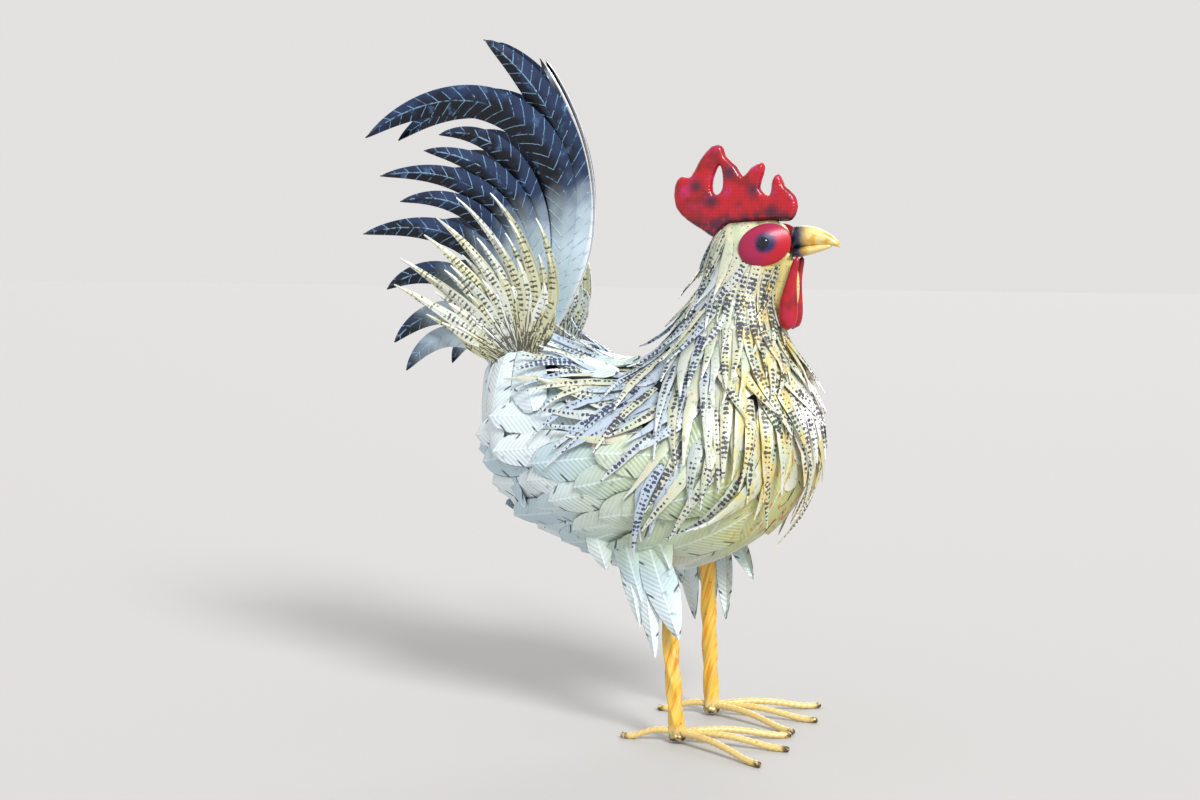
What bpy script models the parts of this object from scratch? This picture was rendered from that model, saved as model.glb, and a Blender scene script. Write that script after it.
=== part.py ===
"""Rooster garden statue of painted sheet metal, standing on two rod feet.

The statue faces +X and its right side is at -Y. Sizes are in millimetres until a mesh is made. While it is
built, x is 0 at the legs, y is 0 in the middle plane and z is 0 on the ground; the empty that carries every
piece then moves the middle of the whole to x = 0.
"""

import math
from collections import namedtuple

import bmesh
import bpy
import numpy as np
from mathutils import Vector
from mathutils.bvhtree import BVHTree
from mathutils.geometry import tessellate_polygon

MM = 0.001
SHEET = 0.9
TAIL_SHEET = 1.1
CLEARANCE = 0.5
SIDES = {"right": -1.0, "left": 1.0}

# The body's core, from the crown down the neck, round the breast and belly and up to the tail's stump. Each
# section has a point on the nape and saddle side, one on the throat and belly side, and a half width across.
Section = namedtuple("Section", "inner outer half_width squareness")
BODY_SECTIONS = (
    Section((30, 466), (74, 469), 15, 2.8),
    Section((21, 457), (84, 463), 23, 2.8),
    Section((17, 444), (87, 449), 26, 2.8),
    Section((13, 429), (81, 431), 27, 2.4),
    Section((8, 411), (72, 412), 28, 2.1),
    Section((-4, 389), (70, 390), 34, 2.0),
    Section((-19, 365), (80, 358), 45, 2.0),
    Section((-33, 347), (101, 320), 61, 2.0),
    Section((-46, 336), (113, 272), 77, 2.0),
    Section((-57, 331), (99, 224), 88, 2.0),
    Section((-67, 330), (62, 184), 94, 2.0),
    Section((-79, 332), (8, 158), 96, 2.0),
    Section((-92, 336), (-58, 154), 94, 2.0),
    Section((-107, 341), (-124, 176), 86, 2.0),
    Section((-121, 346), (-172, 214), 73, 2.0),
    Section((-132, 350), (-190, 260), 57, 2.1),
    Section((-140, 354), (-194, 306), 43, 2.3),
    Section((-145, 358), (-192, 338), 33, 2.5),
)
BODY_SIDES = 18

# Collars of hackle strips. A ring's root lies at one place along the body on the throat side and at another on
# the nape side; the last rings carry no strips and only say how far the strips above them stand off.
Ring = namedtuple("Ring", "outer inner curl count length width")
HACKLE_RINGS = (
    Ring(3.5, 1.7, 3.0, 14, 48, 11),
    Ring(4.7, 3.7, 1.0, 16, 60, 12),
    Ring(5.9, 6.2, 1.0, 20, 84, 14),
    Ring(7.3, 9.0, 1.0, 24, 98, 16),
)
RINGS_BELOW = (Ring(9.3, 12.4, 1.0, 0, 0, 0), Ring(11.5, 15.4, 1.0, 0, 0, 0), Ring(14.0, 17.0, 1.0, 0, 0, 0))
ROOT_LIFT = 1.7
HACKLE_STEP = 3.4
HACKLE_OVER_LEAVES = 5.5
HACKLE_BAND = 7.0

# A finger's shape beyond its band: shares of its length, each with the share of its width there.
STRIP_PROFILE = ((0.22, 0.84), (0.72, 0.66), (1.0, 0))
LEAF_PROFILE = ((0.30, 0.97), (0.74, 0.78), (1.0, 0))
COVERT_PROFILE = ((0.12, 0.80), (0.62, 0.55), (1.0, 0))

# How much shorter every second strip or leaf is, and the slow wave of length from one to the next.
SECOND_SHORTER = 0.17
LENGTH_WAVE = 0.06
WAVE_TURN = 2.4

# Rows of leaf feathers, each a band across the lay of the plumage, which points back and down. A leaf follows
# the skin up to free_from and goes straight on from there. A side row starts where the body is low_side wide.
LAY_ANGLE = 22.0
WHOLE = math.inf
Row = namedtuple("Row", "name place length width free_from low_side")
LEAF_ROWS = (
    Row("breast_feathers_1", -190, 56, 30, WHOLE, 0),
    Row("breast_feathers_2", -145, 58, 31, WHOLE, 0),
    Row("breast_feathers_3", -100, 60, 32, WHOLE, 0),
    Row("side_feathers_right", -50, 62, 30, WHOLE, -80),
    Row("side_feathers_left", -50, 62, 30, WHOLE, 80),
    Row("rump_feathers_1", 0, 62, 34, 44, 0),
    Row("rump_feathers_2", 42, 62, 33, 16, 0),
)
LEAF_SPACING = 45.0
LEAF_STEP = 2.2
LEAF_BAND = 8.0
LEAF_CREASE = 0.9
LEAVES_FROM_RING = 4.55
LEAVES_TURN = 2.2
LEAVES_END = 15.7
LEAF_SHORTEST = 13.0
LEAF_TRIM = 3.0
LEGS_CLEAR = 8.0
THIGHS_CLEAR_ASIDE = 14.0
THIGHS_CLEAR_ENDS = 6.0
THIGHS_CLEAR_BELOW = 230.0

# The rump's panels hang from the tail's stump over the rows below.
RUMP_PANEL_PLACE = 16.7
RUMP_PANEL_TURN = 1.25
RUMP_PANEL_LENGTHS = (58, 74, 66, 78, 66, 74, 58)
RUMP_PANEL_LIFT = 7.5

# Tail feathers, from the innermost in front to the outermost behind: where the tip is, how the root and the
# tip lean back from upright, how long the pull of each is, the width, and how far the feather spreads by its tip.
Sickle = namedtuple("Sickle", "tip root_lean rise tip_lean reach width spread")
SICKLES = (
    Sickle((-149, 618), -30, 100, 26, 110, 26, 5),
    Sickle((-202, 637), -29, 150, 56, 90, 34, 9),
    Sickle((-314, 546), -25, 222, 128, 138, 34, 28),
    Sickle((-241, 548), -17, 150, 106, 60, 22, 24),
    Sickle((-254, 534), -16, 135, 88, 70, 24, 28),
    Sickle((-295, 510), -14, 125, 102, 95, 24, 34),
    Sickle((-275, 486), -10, 105, 107, 70, 22, 32),
    Sickle((-310, 456), -8, 90, 106, 95, 26, 36),
    Sickle((-287, 403), 6, 75, 135, 55, 24, 32),
    Sickle((-279, 353), 18, 60, 148, 50, 22, 30),
    Sickle((-267, 327), 38, 45, 156, 45, 20, 26),
)
SICKLE_ROOT_WIDTH = 9.0
SICKLE_LAYER = 2.7
SICKLE_INNER = 2.4
SICKLE_CREASE = 0.08
SICKLE_SEGMENTS = 7
SICKLE_ROOTS = (0.08, 0.94)
SICKLE_FILLS_OUT = 2.6
SICKLE_TAPERS_FROM = 0.45
SICKLE_TAPER = 2.2
SICKLE_SPREAD_CURVE = 1.7
STEEPEST_ROOT = 0.3

# Fans of covert fingers over the tail's root, drawn round a centre by a finger's angle back from upright.
Covert = namedtuple("Covert", "start bow flare lengths")
COVERT_CENTRE = (-155, 335)
COVERT_ANGLES = (-30, 64)
COVERT_SWEEP = 22.0
COVERTS = {
    "upper": Covert(34, 40.0, 0.30, (80, 108, 112, 100, 88, 84, 76)),
    "lower": Covert(34, 43.5, 0.33, (48, 74, 62, 56, 48, 54, 50)),
}
COVERT_BAND = 34.0
COVERT_SWEEP_LENGTH = 75.0
COVERT_FRONT_FLARE = 0.28

COMB_THICKNESS = 10.0
COMB_ROUNDING = 2.6
COMB_SEAT_GAP = 0.6
COMB_SEAT_PLACES = (1.4, 1.0, 0.5)
COMB_OUTLINE = (
    (4, 462), (-9, 470), (-20, 482), (-21, 500), (-15, 509), (-6, 508), (3, 524), (14, 536), (23, 536),
    (26, 527), (36, 518), (43, 508), (50, 516), (61, 521), (62, 512), (58, 498), (68, 491), (70, 505),
    (76, 511), (81, 500), (90, 492), (93, 482), (88, 470),
)
COMB_HOLE = ((21, 521), (15, 508), (14, 496), (19, 492), (24, 498), (24, 511))

BEAK_SIDES = 10
BeakStation = namedtuple("BeakStation", "x low high half_width")
BEAK_UPPER = (
    BeakStation(88.6, 444.0, 464.0, 11.5),
    BeakStation(100, 446.8, 465.2, 10.0),
    BeakStation(113, 448.4, 462.5, 7.6),
    BeakStation(124, 448.6, 456.8, 4.8),
    BeakStation(132.5, 446.2, 448.6, 1.4),
)
BEAK_LOWER = (
    BeakStation(88.6, 437.0, 443.6, 9.5),
    BeakStation(100, 438.2, 446.4, 8.0),
    BeakStation(113, 442.0, 448.0, 5.6),
    BeakStation(124.5, 446.4, 448.2, 2.2),
)

PATCH_CENTRE = (69, 448)
PATCH_RADII = (25.0, 19.5)
PATCH_TILT = 20.0
PATCH_RIM = 1.2
PATCH_DOME = 5.0
PATCH_NEAREST = 16.0
PATCH_STANDS_OFF = 1.6
PATCH_SIDES = 12
PATCH_SPREADS = (1.0, 0.7)
EYE_PLACE = (71, 450)
EYE_RADIUS = 6.0
EYE_HEIGHT = 4.0
EYE_SIDES = 9
EYE_RINGS = (0.0, 0.55, 0.92)

# A wattle's sections: centre x and z, half width along x, half thickness along y.
WATTLE_SECTIONS = (
    (93, 434, 3, 2.6), (90, 424, 4.6, 3.6), (89, 410, 5.4, 4.2), (88, 397, 7, 5), (88, 385, 8, 5.4),
    (88, 376, 6.4, 4.6), (88, 371, 2.6, 2),
)
WATTLE_OUT = 11.0
WATTLE_SIDES = 8

LEG_OUT = 56.0
LEG_LEANS_IN = 4.0
LEG_TOP_OUT = LEG_OUT - LEG_LEANS_IN
LEG_BAR = 12.5
LEG_FOOT = 3.0
LEG_LEAN = {"right": 5.0, "left": 1.5}
LEG_TWIST_LENGTH = 150.0
LEG_SECTIONS = 12
LEG_REACH = 130.0

TOE_ROD = 6.6
TOE_HEIGHT = 9.5
TOE_ARCH = 3.0
TOE_FLAT = 9.0
TOE_ROOT = 9.6
TOE_SIDES = 6
TOE_ROOT_NECK = 0.72
TOE_ROOT_TAPER = 5.0
TOE_BENDS = (0.45, 0.72, 0.9)
TOE_FALL = 2.2
Toe = namedtuple("Toe", "angle length")
INNER_TOE_LENGTH = 106.0
INNER_TOES_APART = 9.2
INNER_TOE_ANGLE = math.degrees(math.asin((LEG_OUT - INNER_TOES_APART / 2) / INNER_TOE_LENGTH))
TOES = {
    "outer": Toe(33, 110),
    "middle": Toe(0, 103),
    "inner": Toe(-INNER_TOE_ANGLE, INNER_TOE_LENGTH),
    "back": Toe(180, 54),
}

THIGH_SPAN = (-54, 14)
THIGH_GAP = 5.2
THIGH_OUT = LEG_OUT + LEG_BAR * math.sqrt(0.5) + THIGH_GAP
THIGH_IN_AT_TIP = 7.0
THIGH_BACK = 0.10
THIGH_LENGTHS = (40, 64, 98, 96, 60)
THIGH_BAND = 12.0
THIGH_ROOT_GAP = 1.5


def colour(name, rgb, roughness, metallic):
    material = bpy.data.materials.new(name)
    material.use_nodes = True
    shader = material.node_tree.nodes["Principled BSDF"]
    shader.inputs["Base Color"].default_value = (*rgb, 1)
    shader.inputs["Roughness"].default_value = roughness
    shader.inputs["Metallic"].default_value = metallic
    return material


def smooth_step(value):
    value = min(max(value, 0.0), 1.0)
    return value * value * (3 - 2 * value)


def unit(vector):
    return vector / np.linalg.norm(vector)


class Statue:
    """The empty that carries the pieces, and their materials."""

    def __init__(self):
        self.root = bpy.data.objects.new("rooster", None)
        bpy.context.scene.collection.objects.link(self.root)
        self.materials = {
            "core": colour("dark_core", (0.04, 0.045, 0.05), 0.7, 0.3),
            "red": colour("red_paint", (0.55, 0.01, 0.04), 0.35, 0.1),
            "eye": colour("eye_gloss", (0.01, 0.015, 0.04), 0.15, 0.0),
            "beak": colour("beak_paint", (0.85, 0.6, 0.18), 0.45, 0.1),
            "leg": colour("leg_paint", (0.85, 0.5, 0.12), 0.5, 0.2),
            "sickle": colour("sickle_paint", (0.05, 0.08, 0.16), 0.4, 0.3),
            "covert": colour("covert_paint", (0.6, 0.62, 0.38), 0.5, 0.2),
            "hackle": colour("hackle_paint", (0.8, 0.76, 0.5), 0.5, 0.2),
            "leaf": colour("leaf_paint", (0.62, 0.74, 0.7), 0.5, 0.2),
        }

    def add(self, name, mesh, material, smooth=False):
        piece = bpy.data.objects.new(name, mesh)
        piece.data.materials.append(self.materials[material])
        piece.parent = self.root
        bpy.context.scene.collection.objects.link(piece)
        if smooth:
            piece.data.shade_smooth()
        return piece

    def add_faces(self, name, points, faces, material, smooth=False):
        """A closed mesh from points in millimetres, its faces turned outwards."""
        mesh = bpy.data.meshes.new(name)
        mesh.from_pydata([Vector(point) * MM for point in points], [], faces)
        shape = bmesh.new()
        shape.from_mesh(mesh)
        bmesh.ops.recalc_face_normals(shape, faces=shape.faces)
        shape.to_mesh(mesh)
        shape.free()
        return self.add(name, mesh, material, smooth)

    def centre(self):
        """Moves the whole so that the middle of its length is at x = 0."""
        bpy.context.view_layer.update()
        graph = bpy.context.evaluated_depsgraph_get()
        reach = [corner_x(piece.evaluated_get(graph)) for piece in self.root.children]
        low = min(pair[0] for pair in reach)
        high = max(pair[1] for pair in reach)
        self.root.location.x = -(low + high) / 2


def corner_x(piece):
    xs = [(piece.matrix_world @ Vector(corner)).x for corner in piece.bound_box]
    return min(xs), max(xs)


def loft(rings):
    """Points and faces of a closed solid through rings of equally many points, flat at each end."""
    points = [point for ring in rings for point in ring]
    around = len(rings[0])
    faces = [tuple(range(around)), tuple(range(len(points) - around, len(points)))]
    for first in range(0, len(points) - around, around):
        for side in range(around):
            following = (side + 1) % around
            faces.append((first + side, first + following, first + around + following, first + around + side))
    return points, faces


def thicken(points, normals, faces, thickness):
    """A sheet as a closed solid: its faces at the back, a copy of them in front, and walls along the edges."""
    front = [np.array(p) + np.array(n) * thickness for p, n in zip(points, normals)]
    count = len(points)
    solid = [tuple(face) for face in faces]
    solid += [tuple(count + corner for corner in reversed(face)) for face in faces]
    used = {}
    for face in faces:
        for start, end in zip(face, face[1:] + face[:1]):
            used.setdefault(frozenset((start, end)), []).append((start, end))
    for edge in used.values():
        if len(edge) == 1:
            start, end = edge[0]
            solid.append((end, start, count + start, count + end))
    return [np.array(p) for p in points] + front, solid


class Skin:
    """The body's surface, read by the place along it, from 0 at the crown, and the turn from the belly."""

    def __init__(self, sections):
        self.rows = np.array([(*s.inner, *s.outer, s.half_width, s.squareness) for s in sections], float)
        self.last = len(sections) - 1

    def row(self, place):
        place = min(max(place, 0.0), self.last)
        start = min(int(place), self.last - 1)
        f = place - start
        before, here, there, after = (self.rows[min(max(start + k, 0), self.last)] for k in (-1, 0, 1, 2))
        slope_here, slope_there = (there - before) / 2, (after - here) / 2
        return ((2 * f**3 - 3 * f**2 + 1) * here + (f**3 - 2 * f**2 + f) * slope_here
                + (3 * f**2 - 2 * f**3) * there + (f**3 - f**2) * slope_there)

    def point(self, place, turn):
        inner_x, inner_z, outer_x, outer_z, half_width, squareness = self.row(place)
        along = math.copysign(abs(math.cos(turn)) ** (2 / squareness), math.cos(turn))
        across = math.copysign(abs(math.sin(turn)) ** (2 / squareness), math.sin(turn))
        x = (inner_x + outer_x) / 2 + (outer_x - inner_x) / 2 * along
        z = (inner_z + outer_z) / 2 + (outer_z - inner_z) / 2 * along
        return np.array((x, half_width * across, z))

    def frame(self, place, turn):
        """Point, change with place, change with turn, and the normal that points out."""
        step = 0.02
        low, high = max(place - step, 0.0), min(place + step, self.last)
        by_place = (self.point(high, turn) - self.point(low, turn)) / (high - low)
        by_turn = (self.point(place, turn + step) - self.point(place, turn - step)) / (2 * step)
        return self.point(place, turn), by_place, by_turn, unit(np.cross(by_place, by_turn))

    def meridian(self, place, turn, length, step):
        """Places along a line that keeps its turn and runs down the body, one for every step."""
        line = [(place, turn)]
        for _ in range(int(math.ceil(length / step)) + 1):
            place = min(place + step / np.linalg.norm(self.frame(place, turn)[1]), self.last)
            line.append((place, turn))
        return np.array(line)

    def walk(self, place, turn, heading, length, step):
        """Places and turns along a line that runs over the skin as straight as it can, one for every step."""
        line = [(place, turn)]
        for _ in range(int(math.ceil(length / step)) + 1):
            _, by_place, by_turn, normal = self.frame(place, turn)
            heading = unit(heading - normal * heading.dot(normal))
            move = np.linalg.lstsq(np.column_stack((by_place, by_turn)), heading * step, rcond=None)[0]
            place = min(max(place + move[0], 0.0), self.last)
            turn += move[1]
            line.append((place, turn))
        return np.array(line)


def ring_places(turn):
    """Where each collar's ring crosses the body at this turn, as places along it."""
    back = (1 - math.cos(turn)) / 2
    return [ring.outer + (ring.inner - ring.outer) * back**ring.curl for ring in HACKLE_RINGS + RINGS_BELOW]


def rings_passed(place, turn):
    """How many rings lie above this place, as a number that grows smoothly from one ring to the next."""
    places = ring_places(turn)
    return float(np.interp(place, places, range(1, len(places) + 1)))


def hackle_lift(collar, place, turn):
    passed = rings_passed(place, turn)
    over_leaves = HACKLE_OVER_LEAVES * smooth_step((passed - len(HACKLE_RINGS)) * 2)
    return ROOT_LIFT + HACKLE_STEP * max(passed - collar, 0.0) + over_leaves


class SkinLines:
    """Lines walked over the skin side by side, read between them by line number and by distance along."""

    STEP = 4.0

    def __init__(self, skin, lines, lift, free_from=WHOLE, closed=False):
        self.skin = skin
        self.lines = lines
        self.lift = lift
        self.free_from = free_from
        self.closed = closed

    def place_and_turn(self, number, distance):
        count = len(self.lines)
        low = int(math.floor(number))
        share = number - low
        pair = []
        for index in (low, low + 1):
            line = self.lines[index % count if self.closed else min(max(index, 0), count - 1)]
            extra = (index // count) * 2 * math.pi if self.closed else 0.0
            reach = np.arange(len(line)) * self.STEP
            place = np.interp(distance, reach, line[:, 0])
            turn = np.interp(distance, reach, line[:, 1]) + extra
            pair.append(np.array((place, turn)))
        return pair[0] * (1 - share) + pair[1] * share

    def at(self, number, distance):
        """Point at the back of the sheet, and the normal there."""
        near = min(distance, self.free_from)
        place, turn = self.place_and_turn(number, near)
        point, _, _, normal = self.skin.frame(place, turn)
        point = point + normal * self.lift(place, turn)
        if distance > near:
            place, turn = self.place_and_turn(number, near - self.STEP)
            before, _, _, before_normal = self.skin.frame(place, turn)
            before = before + before_normal * self.lift(place, turn)
            point = point + unit(point - before) * (distance - near)
        return point, normal


def finger_sheet(at, lengths, band, profile, closed=False, crease=0.0, widest=None):
    """A sheet with a band along its root and a finger for each length; the gaps start at the band.

    at gives a point and a normal for a line's number and a distance along it. Fingers sit between even lines.
    """
    points, normals, faces = [], [], []
    count = len(lengths)

    def vertex(number, distance, raise_by=0.0):
        point, normal = at(number, distance)
        points.append(point + normal * raise_by)
        normals.append(normal)
        return len(points) - 1

    gaps = count if closed else count + 1
    root = [vertex(2 * gap, 0) for gap in range(gaps)]
    edge = [vertex(2 * gap, band) for gap in range(gaps)]
    for finger, length in enumerate(lengths):
        following = (finger + 1) % gaps
        middle = 2 * finger + 1
        row = [edge[finger], edge[following]]
        start = [root[finger], root[following]]
        if crease:
            row.insert(1, vertex(middle, band, crease))
            start.insert(1, vertex(middle, 0))
        faces += [(start[k], start[k + 1], row[k + 1], row[k]) for k in range(len(row) - 1)]
        for along, fill in profile:
            distance = band + (length - band) * along
            if fill == 0:
                tip = vertex(middle, distance)
                faces += [(row[k], row[k + 1], tip) for k in range(len(row) - 1)]
                break
            half = fill
            if widest:
                edge_point, _ = at(middle - 1, distance)
                centre_point, _ = at(middle, distance)
                half = min(fill, fill * widest / 2 / np.linalg.norm(edge_point - centre_point))
            new = [vertex(middle - half, distance), vertex(middle + half, distance)]
            if crease:
                new.insert(1, vertex(middle, distance, crease))
            faces += [(row[k], row[k + 1], new[k + 1], new[k]) for k in range(len(row) - 1)]
            row = new
    return points, normals, faces


def varied(length, index, count):
    """Lengths that vary from strip to strip, the same on both sides of the statue."""
    pair = min(index, count - 1 - index)
    return length * (1 - SECOND_SHORTER * (pair % 2) + LENGTH_WAVE * math.sin(WAVE_TURN * pair))


def make_collars(statue, skin):
    for number, ring in enumerate(HACKLE_RINGS, 1):
        lengths = [varied(ring.length, index, ring.count) for index in range(ring.count)]
        courses = []
        for line in range(2 * ring.count):
            turn = math.pi * line / ring.count
            place = ring_places(turn)[number - 1]
            courses.append(skin.meridian(place, turn, max(lengths), SkinLines.STEP))

        def lift(place, turn, number=number):
            return hackle_lift(number, place, turn)

        lines = SkinLines(skin, courses, lift, closed=True)
        sheet = finger_sheet(lines.at, lengths, HACKLE_BAND, STRIP_PROFILE, closed=True, widest=ring.width)
        statue.add_faces(f"hackle_collar_{number}", *thicken(*sheet, SHEET), "hackle")


def lay_direction():
    angle = math.radians(LAY_ANGLE)
    return np.array((-math.cos(angle), 0.0, -math.sin(angle)))


def place_on_row(skin, row, turn):
    """The place along the body where this row crosses it at this turn, or None beyond the row's reach."""
    lay = lay_direction()
    first_below = ring_places(turn)[len(HACKLE_RINGS) - 1]
    places = np.linspace(first_below, skin.last, 160)
    along = np.array([skin.point(place, turn).dot(lay) for place in places]) - row.place
    crossings = np.nonzero((along[:-1] < 0) & (along[1:] >= 0))[0]
    if not len(crossings):
        return None
    k = crossings[0]
    place = places[k] + (places[k + 1] - places[k]) * -along[k] / (along[k + 1] - along[k])
    return place if rings_passed(place, turn) >= LEAVES_FROM_RING else None


def row_course(skin, row):
    """Places and turns along a row's root, from one end of its arc to the other."""
    course = []
    for turn in np.linspace(-LEAVES_TURN, LEAVES_TURN, 241):
        place = place_on_row(skin, row, turn)
        if place is None:
            continue
        across = skin.point(place, turn)[1]
        if row.low_side == 0 or across * math.copysign(1, row.low_side) > abs(row.low_side):
            course.append((place, turn))
    return np.array(course)


def leg_axis(side, height):
    """The middle of a leg's bar at this height."""
    lean = math.tan(math.radians(LEG_LEAN[side]))
    inward = (LEG_OUT - LEG_TOP_OUT) * height / LEG_REACH
    return np.array((-lean * height, SIDES[side] * (LEG_OUT - inward), height))


def keeps_clear(point):
    """Whether a leaf may lie here, away from the legs' tops and the thighs' own feathers."""
    for side in SIDES:
        axis = leg_axis(side, point[2])
        if math.hypot(point[0] - axis[0], point[1] - axis[1]) < LEG_BAR + LEGS_CLEAR:
            return False
        beside = abs(point[1] * SIDES[side] - THIGH_OUT) < THIGHS_CLEAR_ASIDE
        above = THIGH_SPAN[0] - THIGHS_CLEAR_ENDS < point[0] < THIGH_SPAN[1] + THIGHS_CLEAR_ENDS
        if beside and above and point[2] < THIGHS_CLEAR_BELOW:
            return False
    return True


def make_leaf_rows(statue, skin):
    lay = lay_direction()
    for row in LEAF_ROWS:
        course = row_course(skin, row)
        corners = np.array([skin.point(*pair) for pair in course])
        walked = np.concatenate(([0], np.cumsum(np.linalg.norm(np.diff(corners, axis=0), axis=1))))
        count = max(2, round(walked[-1] / row.width))
        wanted = np.linspace(0, walked[-1], 2 * count + 1)
        starts = [(np.interp(w, walked, course[:, 0]), np.interp(w, walked, course[:, 1])) for w in wanted]

        def lift(place, turn, row=row):
            along = skin.point(place, turn).dot(lay) - row.place
            return ROOT_LIFT + LEAF_STEP * max(along, 0) / LEAF_SPACING

        longest = row.length * (1 + LENGTH_WAVE)
        courses = [skin.walk(*start, lay, longest, SkinLines.STEP) for start in starts]
        lines = SkinLines(skin, courses, lift, row.free_from)
        lengths = []
        for leaf in range(count):
            length = varied(row.length, leaf, count)
            while length > LEAF_SHORTEST and not leaf_is_clear(lines, 2 * leaf + 1, length):
                length -= LEAF_TRIM
            lengths.append(length)
        sheet = finger_sheet(lines.at, lengths, LEAF_BAND, LEAF_PROFILE, crease=LEAF_CREASE)
        statue.add_faces(row.name, *thicken(*sheet, SHEET), "leaf")


def leaf_is_clear(lines, middle, length):
    return all(
        keeps_clear(lines.at(middle + side, distance)[0])
        and lines.place_and_turn(middle + side, min(distance, lines.free_from))[0] < LEAVES_END
        for side in (-0.8, 0, 0.8)
        for distance in np.linspace(LEAF_BAND, length, 6)
    )


def make_rump_panels(statue, skin):
    count = 2 * len(RUMP_PANEL_LENGTHS) + 1
    starts = [(RUMP_PANEL_PLACE, turn) for turn in np.linspace(-RUMP_PANEL_TURN, RUMP_PANEL_TURN, count)]
    length = max(RUMP_PANEL_LENGTHS)
    courses = [skin.walk(*start, -skin.frame(*start)[1], length, SkinLines.STEP) for start in starts]

    def lift(place, turn):
        return ROOT_LIFT + RUMP_PANEL_LIFT * smooth_step(RUMP_PANEL_PLACE - place)

    lines = SkinLines(skin, courses, lift)
    sheet = finger_sheet(lines.at, RUMP_PANEL_LENGTHS, LEAF_BAND, LEAF_PROFILE, crease=LEAF_CREASE)
    statue.add_faces("rump_feathers_3", *thicken(*sheet, SHEET), "leaf")


def bezier(corners, share):
    a, b, c, d = corners
    rest = 1 - share
    return rest**3 * a + 3 * rest**2 * share * b + 3 * rest * share**2 * c + share**3 * d


def lean_direction(angle):
    """A direction in the middle plane, this many degrees back from upright."""
    angle = math.radians(angle)
    return np.array((-math.sin(angle), math.cos(angle)))


def stump_height(x):
    """The height of the stump's flat top at this x."""
    inner, outer = BODY_SECTIONS[-1].inner, BODY_SECTIONS[-1].outer
    return inner[1] + (outer[1] - inner[1]) * (x - inner[0]) / (outer[0] - inner[0])


def make_sickles(statue):
    front, rear = (np.array(corner, float) for corner in (BODY_SECTIONS[-1].inner, BODY_SECTIONS[-1].outer))
    for index, sickle in enumerate(SICKLES):
        share = SICKLE_ROOTS[0] + (SICKLE_ROOTS[1] - SICKLE_ROOTS[0]) * index / (len(SICKLES) - 1)
        root = front + (rear - front) * share
        tip = np.array(sickle.tip, float)
        corners = (root, root + lean_direction(sickle.root_lean) * sickle.rise,
                   tip - lean_direction(sickle.tip_lean) * sickle.reach, tip)
        for side, sign in SIDES.items():
            rows = []
            for step in range(SICKLE_SEGMENTS + 1):
                rows.append(sickle_row(sickle, index, corners, step / SICKLE_SEGMENTS, sign))
            points, normals, faces = [], [], []
            for row in rows[:-1]:
                points += row[0]
                normals += [row[1]] * 3
            points.append(rows[-1][0][1])
            normals.append(rows[-1][1])
            for start in range(0, 3 * (SICKLE_SEGMENTS - 1), 3):
                faces += [(start + k, start + k + 1, start + k + 4, start + k + 3) for k in (0, 1)]
            last = len(points) - 1
            faces += [(last - 3, last - 2, last), (last - 2, last - 1, last)]
            name = f"sickle_{side}_{index + 1:02d}"
            statue.add_faces(name, *thicken(points, normals, faces, TAIL_SHEET), "sickle")


def sickle_row(sickle, index, corners, along, sign):
    """Two edges and the ridge between them at this share of a tail feather, and its outward normal."""
    centre = bezier(corners, along)
    step = 0.02
    tangent = unit(bezier(corners, min(along + step, 1.0)) - bezier(corners, max(along - step, 0.0)))
    across = np.array((tangent[1], -tangent[0]))
    fill = SICKLE_ROOT_WIDTH + (sickle.width - SICKLE_ROOT_WIDTH) * smooth_step(along * SICKLE_FILLS_OUT)
    taper = 1 - max(0.0, (along - SICKLE_TAPERS_FROM) / (1 - SICKLE_TAPERS_FROM)) ** SICKLE_TAPER
    half = fill / 2 * taper
    out = SICKLE_INNER + SICKLE_LAYER * index + sickle.spread * along**SICKLE_SPREAD_CURVE
    ridge = SICKLE_CREASE * 2 * half * smooth_step(along * SICKLE_FILLS_OUT)
    row = []
    for place, raised in ((-half, 0.0), (0.0, ridge), (half, 0.0)):
        x, z = centre + across * place
        if along == 0:
            climb = (stump_height(x) + 3 * CLEARANCE - z) / max(tangent[1], STEEPEST_ROOT)
            x, z = x + tangent[0] * climb, z + tangent[1] * climb
        row.append(np.array((x, sign * (out + raised), z)))
    return row, np.array((0.0, sign, 0.0))


def make_coverts(statue):
    for layer, covert in COVERTS.items():
        first, last = COVERT_ANGLES
        count = len(covert.lengths)
        for side, sign in SIDES.items():

            def at(number, distance, covert=covert, sign=sign, count=count):
                share = number / (2 * count)
                base = first + (last - first) * share
                sweep = COVERT_SWEEP * (1 - share) * max(distance - COVERT_BAND, 0) / COVERT_SWEEP_LENGTH
                x, z = np.array(COVERT_CENTRE) + lean_direction(base + sweep) * (covert.start + distance)
                flare = covert.flare * (COVERT_FRONT_FLARE + (1 - COVERT_FRONT_FLARE) * smooth_step(share))
                return np.array((x, sign * (covert.bow + flare * distance), z)), np.array((0.0, sign, 0.0))

            lengths = [COVERT_BAND + length for length in covert.lengths]
            sheet = finger_sheet(at, lengths, COVERT_BAND, COVERT_PROFILE)
            statue.add_faces(f"tail_covert_{side}_{layer}", *thicken(*sheet, SHEET), "covert")


def make_body(statue, skin):
    turns = [2 * math.pi * side / BODY_SIDES for side in range(BODY_SIDES)]
    rings = [[skin.point(place, turn) for turn in turns] for place in range(skin.last + 1)]
    return statue.add_faces("body", *loft(rings), "core", smooth=True)


def body_tree(body):
    corners = [vertex.co / MM for vertex in body.data.vertices]
    return BVHTree.FromPolygons(corners, [tuple(face.vertices) for face in body.data.polygons])


def crown_edge(skin):
    """The comb's seat: the head's outline in the middle plane, from the nape over the crown to the brow."""
    gap = COMB_SEAT_GAP
    seat = [skin.point(place, math.pi) + np.array((-gap, 0, gap)) for place in COMB_SEAT_PLACES]
    seat += [skin.point(0.0, turn) + np.array((0, 0, gap)) for turn in (math.pi, math.pi / 2, 0.0)]
    return [(point[0], point[2]) for point in seat]


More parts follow.
